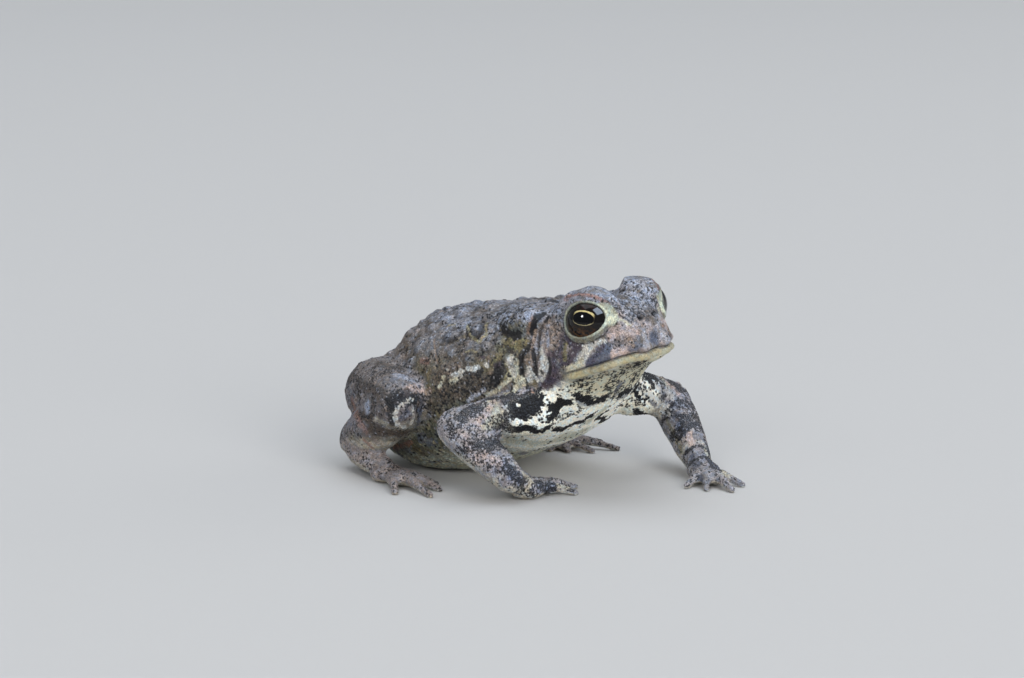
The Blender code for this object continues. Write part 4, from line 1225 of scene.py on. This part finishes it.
# %% Give each grain one colour, with painted highlights and glints on the domes and painted shade in the gaps
speckle = (0.05 + 0.13 * face_mask * facing_up + 0.2 * limb_mask * (1 - under)
           + 0.13 * trunk_mask * (1 - chest_mask) * (1 - belly_mask)
           + 0.42 * throat_mask * step_up(-from_mouth, 1.4, 2.2) + 0.03 * gland_mask)
speckle *= (1 - plain) * step_up(middle, -0.7, 0.5) * 1.45
soot = np.maximum(black_share * (1 - 0.6 * kept_clear), speckle * (1 - 0.85 * kept_clear))
soot[plain > 0.5] = 0
whole = paint[centres][grain]
quantised = 0.9 * (1 - plain) * (0.4 + 0.6 * np.clip(chest_mask + belly_mask + limb_mask, 0, 1))
paint += (whole - paint) * quantised[:, None]
# Each grain gets a random tone. Its dome is made lighter and its edge darker, a painted highlight and shade
# over the real relief.
tone_and_dome_light = 0.5 * (grain_tone - 0.5) + 0.34 * (dome - 0.5) + 0.26 * small
paint *= np.exp(tone_and_dome_light * (1 - 0.85 * plain) * (1 - 0.8 * chest_mask))[:, None]
# A few grain tips turn pale: partly the skin's pale tips, partly painted glints.
pale_tip_glint = (grain_luck > 0.95) * step_up(dome, 0.25, 0.6) * (1 - plain) * (1 - chest_mask)
lay("ash", 0.6 * pale_tip_glint)
beads = np.clip(chest_mask + limb_mask, 0, 1)
share = (soot * (0.75 + 0.4 * beads))[centres][grain]
filled = step_up(share, 0.5, 0.8) * (1 - 0.75 * limb_mask * (1 - chest_mask))
turned = (grain_luck < share) * np.maximum(step_up(dome, 0.1, 0.35), filled)
lay("black", turned)
# The gaps between the grains are darkened: painted shade.
gap_shade = (1 - step_up(dome, 0.0, 0.3)) * (1 - plain)
paint *= (1 - gap_shade * (0.45 - 0.2 * limb_mask - 0.3 * chest_mask))[:, None]
paint = np.clip(paint, 0.004, 0.92)
print("black grains cover", round(float((turned > 0.5).mean()), 3))

# %% [markdown]
# ## The skin's finish
# The painted tones carry the pattern. The shader adds what is finer than the mesh: a drift of
# tone inside each grain, pin-point pigment, pale pin-points that are painted glints, a moist gloss
# that changes from place to place and a fine bump.

# %% Helpers for shader nodes
class Shader:
    """A short way to add and join shader nodes."""

    def __init__(self, name):
        self.material = bpy.data.materials.new(name)
        self.material.use_nodes = True
        self.tree = self.material.node_tree
        self.surface = self.tree.nodes["Principled BSDF"]

    def add(self, kind, inputs=(), **settings):
        node = self.tree.nodes.new("ShaderNode" + kind)
        for key, value in settings.items():
            setattr(node, key, value)
        for key, value in dict(inputs).items():
            self.put(node.inputs[key], value)
        return node

    def put(self, socket, value):
        if isinstance(value, bpy.types.NodeSocket):
            self.tree.links.new(value, socket)
        else:
            socket.default_value = value

    def sums(self, operation, a, b=0.0, c=0.0):
        return self.add("Math", {0: a, 1: b, 2: c}, operation=operation).outputs[0]

    def times(self, a, b):
        return self.sums("MULTIPLY", a, b)

    def plus(self, a, b):
        return self.sums("ADD", a, b)

    def minus(self, a, b):
        return self.sums("SUBTRACT", a, b)

    def over(self, a, b):
        return self.sums("DIVIDE", a, b)

    def between(self, value, low, high, out_low=0.0, out_high=1.0):
        node = self.add("MapRange", {"Value": value, "From Min": low, "From Max": high,
                                     "To Min": out_low, "To Max": out_high},
                        interpolation_type="SMOOTHSTEP")
        return node.outputs["Result"]

    def mix(self, share, a, b, blend="MIX"):
        node = self.add("Mix", {0: share, 6: a, 7: b}, data_type="RGBA", blend_type=blend)
        return node.outputs[2]

    def layer(self, name, output="Fac"):
        return self.add("Attribute", attribute_name=name).outputs[output]

    def millimetres(self):
        place = self.add("TexCoord").outputs["Object"]
        return self.add("VectorMath", {0: place, "Scale": 1 / MM}, operation="SCALE").outputs[0]

    def noise(self, place, per_mm, detail=3.0, roughness=0.55):
        return self.add("TexNoise", {"Vector": place, "Scale": per_mm, "Detail": detail,
                                     "Roughness": roughness}).outputs["Fac"]

    def cells(self, place, per_mm, feature="F1"):
        cells = self.add("TexVoronoi", {"Vector": place, "Scale": per_mm}, feature=feature)
        return cells.outputs["Distance"]

    def finish(self, **inputs):
        for key, value in inputs.items():
            self.put(self.surface.inputs[key.replace("_", " ")], value)
        return self.material


# %% Make the skin's material
def skin_material():
    s = Shader("toad_skin")
    place = s.millimetres()
    paint_colour = s.layer("paint", "Color")
    fine = s.noise(place, 3.2, 4.0)
    calm = s.layer("calm")
    tone = s.between(fine, 0.3, 0.7, s.sums("MULTIPLY_ADD", calm, 0.24, 0.66),
                     s.sums("MULTIPLY_ADD", calm, -0.24, 1.32))
    tone = s.add("CombineColor", {0: tone, 1: tone, 2: tone}).outputs[0]
    colour = s.mix(1.0, paint_colour, tone, "MULTIPLY")
    warm = s.between(s.noise(place, 1.1, 3.0), 0.42, 0.62)
    tint = s.mix(warm, (1.06, 0.98, 0.9, 1.0), (0.94, 1.0, 1.08, 1.0))
    colour = s.mix(1.0, colour, tint, "MULTIPLY")
    dots = s.add("TexVoronoi", {"Vector": place, "Scale": 3.9})
    luck = s.add("SeparateColor", {0: dots.outputs["Color"]}).outputs[0]
    chosen = s.between(s.minus(s.times(s.layer("soot"), 0.8), luck), -0.02, 0.02)
    spot = s.between(dots.outputs["Distance"], 0.46, 0.34)
    colour = s.mix(s.times(s.times(chosen, spot), 0.93), colour, (0.011, 0.011, 0.013, 1.0))
    # Pale pin-points on the skin: painted glints.
    pale = s.between(s.minus(luck, s.layer("glint_dots")), 0.02, -0.02)
    pale = s.times(pale, s.between(s.cells(place, 3.9), 0.3, 0.2))
    colour = s.mix(s.times(pale, 0.5), colour, (0.55, 0.55, 0.58, 1.0))
    grit = s.plus(s.times(s.cells(place, 4.5), -0.6), s.noise(place, 7.0, 3.0))
    grit = s.sums("MULTIPLY_ADD", s.layer("dome"), 1.1, grit)
    bump = s.add("Bump", {"Height": grit, "Strength": 0.55, "Distance": 0.09 * MM}).outputs[0]
    rough = s.plus(s.between(fine, 0.3, 0.7, 0.36, 0.52), s.times(s.layer("moist"), -0.12))
    return s.finish(Base_Color=colour, Roughness=rough, Normal=bump, IOR=1.3,
                    Coat_Weight=0.06, Coat_Roughness=0.22, Coat_IOR=1.33)


def shade_smooth(mesh):
    mesh.polygons.foreach_set("use_smooth", np.ones(len(mesh.polygons), dtype=bool))


paint_layer = skin_mesh.attributes.new("paint", "FLOAT_COLOR", "POINT")
paint_layer.data.foreach_set("color", np.c_[paint, np.ones(len(co))].astype(np.float32).ravel())
write_layer(skin_mesh, "moist", np.clip(plain + 0.4 * belly_mask, 0, 1))
write_layer(skin_mesh, "soot", soot * (1 - 0.6 * chest_mask))
write_layer(skin_mesh, "calm", np.clip(chest_mask + 0.4 * limb_mask, 0, 1))
write_layer(skin_mesh, "dome", dome * (1 - 0.85 * plain) * (0.35 + 0.65 * beads))
# The share of pale pin-points, which are painted glints.
write_layer(skin_mesh, "glint_dots", (0.07 - 0.05 * chest_mask) * (1 - plain) * (1 - kept_clear))
skin_mesh.materials.append(skin_material())
shade_smooth(skin_mesh)
print("skin finished")

# %% Place the skin
def within_solid(points):
    """Keeps the dressed toad inside the solid model's box."""
    low, high = np.array(cad_low) / MM, np.array(cad_high) / MM
    return np.clip(points, low, high)


set_points(skin_mesh, within_solid(co + normal * relief[:, None]) * MM)
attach(skin, "root")
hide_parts(*FLESH)
print("relief", round(float(relief.min()), 2), "to", round(float(relief.max()), 2), "mm")

# %% [markdown]
# ## The eyes
# A toad's eye is a dark ball with a wide, level pupil. A thin gold line runs above and below
# the pupil, and the iris is nearly black, dusted with copper low down. The ball is turned
# about the direction of gaze, like a bead on a lathe, and it bulges a little where the cornea
# is. Two numbers on each point say how far forward and how far up it lies from the middle of
# the gaze, and the shader draws the iris from them.

# %% Turn the eyeballs
PUPIL_TILT = math.radians(20)
PUPIL_MIDDLE, PUPIL_HALF = (0.45, 0.4), (1.9, 1.08)
BALL_INSET, CORNEA_BULGE = 0.12, 0.4


def eyeball(sign):
    name = "eye_left" if sign > 0 else "eye_right"
    centre, out, ahead, above = eye_frame(sign)
    rings, around = 72, 96
    bm = bmesh.new()
    verts = []
    for i in range(rings + 1):
        angle = math.pi * i / rings
        bulge = CORNEA_BULGE * max(0.0, math.cos(angle)) ** 3
        radius = EYE_RADIUS - BALL_INSET + bulge
        spread = radius * math.sin(angle)
        for k in range(around):
            turn = 2 * math.pi * k / around
            verts.append(bm.verts.new(centre + out * (radius * math.cos(angle))
                                      + ahead * (spread * math.cos(turn))
                                      + above * (spread * math.sin(turn))))
    for i in range(rings):
        low, high = i * around, (i + 1) * around
        for k in range(around):
            n = (k + 1) % around
            bm.faces.new([verts[j] for j in (low + k, low + n, high + n, high + k)])
    bmesh.ops.remove_doubles(bm, verts=bm.verts, dist=1e-4)
    bmesh.ops.recalc_face_normals(bm, faces=bm.faces)
    mesh = mesh_from(bm, "eyeball_" + name[4:])
    a, b, _ = eye_coordinates(points_of(mesh), sign)
    write_layer(mesh, "eye_forward", a * math.cos(PUPIL_TILT) - b * math.sin(PUPIL_TILT))
    write_layer(mesh, "eye_up", a * math.sin(PUPIL_TILT) + b * math.cos(PUPIL_TILT))
    set_points(mesh, points_of(mesh) * MM)
    shade_smooth(mesh)
    ball = in_scene("eyeball_" + name[4:], mesh)
    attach(ball, "root")
    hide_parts(name)
    return ball


def eye_material():
    s = Shader("toad_eye")
    place = s.millimetres()
    a, b = s.layer("eye_forward"), s.layer("eye_up")
    wobble = s.times(s.minus(s.noise(place, 2.5, 2.0), 0.5), 0.12)
    pa, pb = (s.over(s.minus(at, middle), half)
              for at, middle, half in zip((a, b), PUPIL_MIDDLE, PUPIL_HALF))
    pupil = s.sums("SQRT", s.plus(s.times(pa, pa), s.times(pb, pb)))
    pupil = s.plus(pupil, wobble)
    radius = s.sums("SQRT", s.plus(s.times(a, a), s.times(b, b)))
    threads = s.between(s.cells(place, 4.0, "DISTANCE_TO_EDGE"), 0.0, 0.16, 1.0, 0.0)
    clouds = s.between(s.noise(place, 1.6, 4.0), 0.38, 0.64)
    low = s.between(b, -0.4, -2.6)
    copper = s.times(low, clouds)
    copper = s.times(copper, s.plus(s.times(threads, 0.5), 0.5))
    colour = s.mix(copper, (0.006, 0.005, 0.005, 1), (0.115, 0.052, 0.016, 1))
    crown = s.times(s.between(b, 1.5, 2.1), clouds)
    colour = s.mix(s.times(crown, 0.6), colour, (0.035, 0.012, 0.010, 1))
    thick = s.between(b, -0.4, 0.6, 0.07, 0.15)
    ring = s.between(s.over(s.sums("ABSOLUTE", s.minus(pupil, 1.12)), thick), 1.0, 0.6)
    middle_share = s.between(s.sums("ABSOLUTE", s.minus(a, PUPIL_MIDDLE[0])), 2.0, 1.5)
    broken = s.between(s.noise(place, 5.0, 2.0), 0.25, 0.5, 0.5, 1.0)
    ring = s.times(s.times(ring, middle_share), broken)
    gold = s.mix(s.between(b, -0.4, 0.6), (0.30, 0.26, 0.15, 1), (0.66, 0.55, 0.27, 1))
    colour = s.mix(ring, colour, gold)
    colour = s.mix(s.between(pupil, 1.0, 0.95), colour, (0.002, 0.002, 0.003, 1))
    colour = s.mix(s.between(radius, 3.55, 3.95), colour, (0.012, 0.009, 0.008, 1))
    ripple = s.add("Bump", {"Height": s.noise(place, 3.0, 2.0), "Strength": 0.03,
                            "Distance": 0.05 * MM}).outputs[0]
    rough = s.between(s.noise(place, 2.0, 3.0), 0.3, 0.7, 0.02, 0.06)
    return s.finish(Base_Color=colour, Roughness=rough, Normal=ripple, IOR=1.34)


iris = eye_material()
for sign in (-1, 1):
    eyeball(sign).data.materials.append(iris)
print("eyeballs of", EYE_RADIUS, "mm radius")
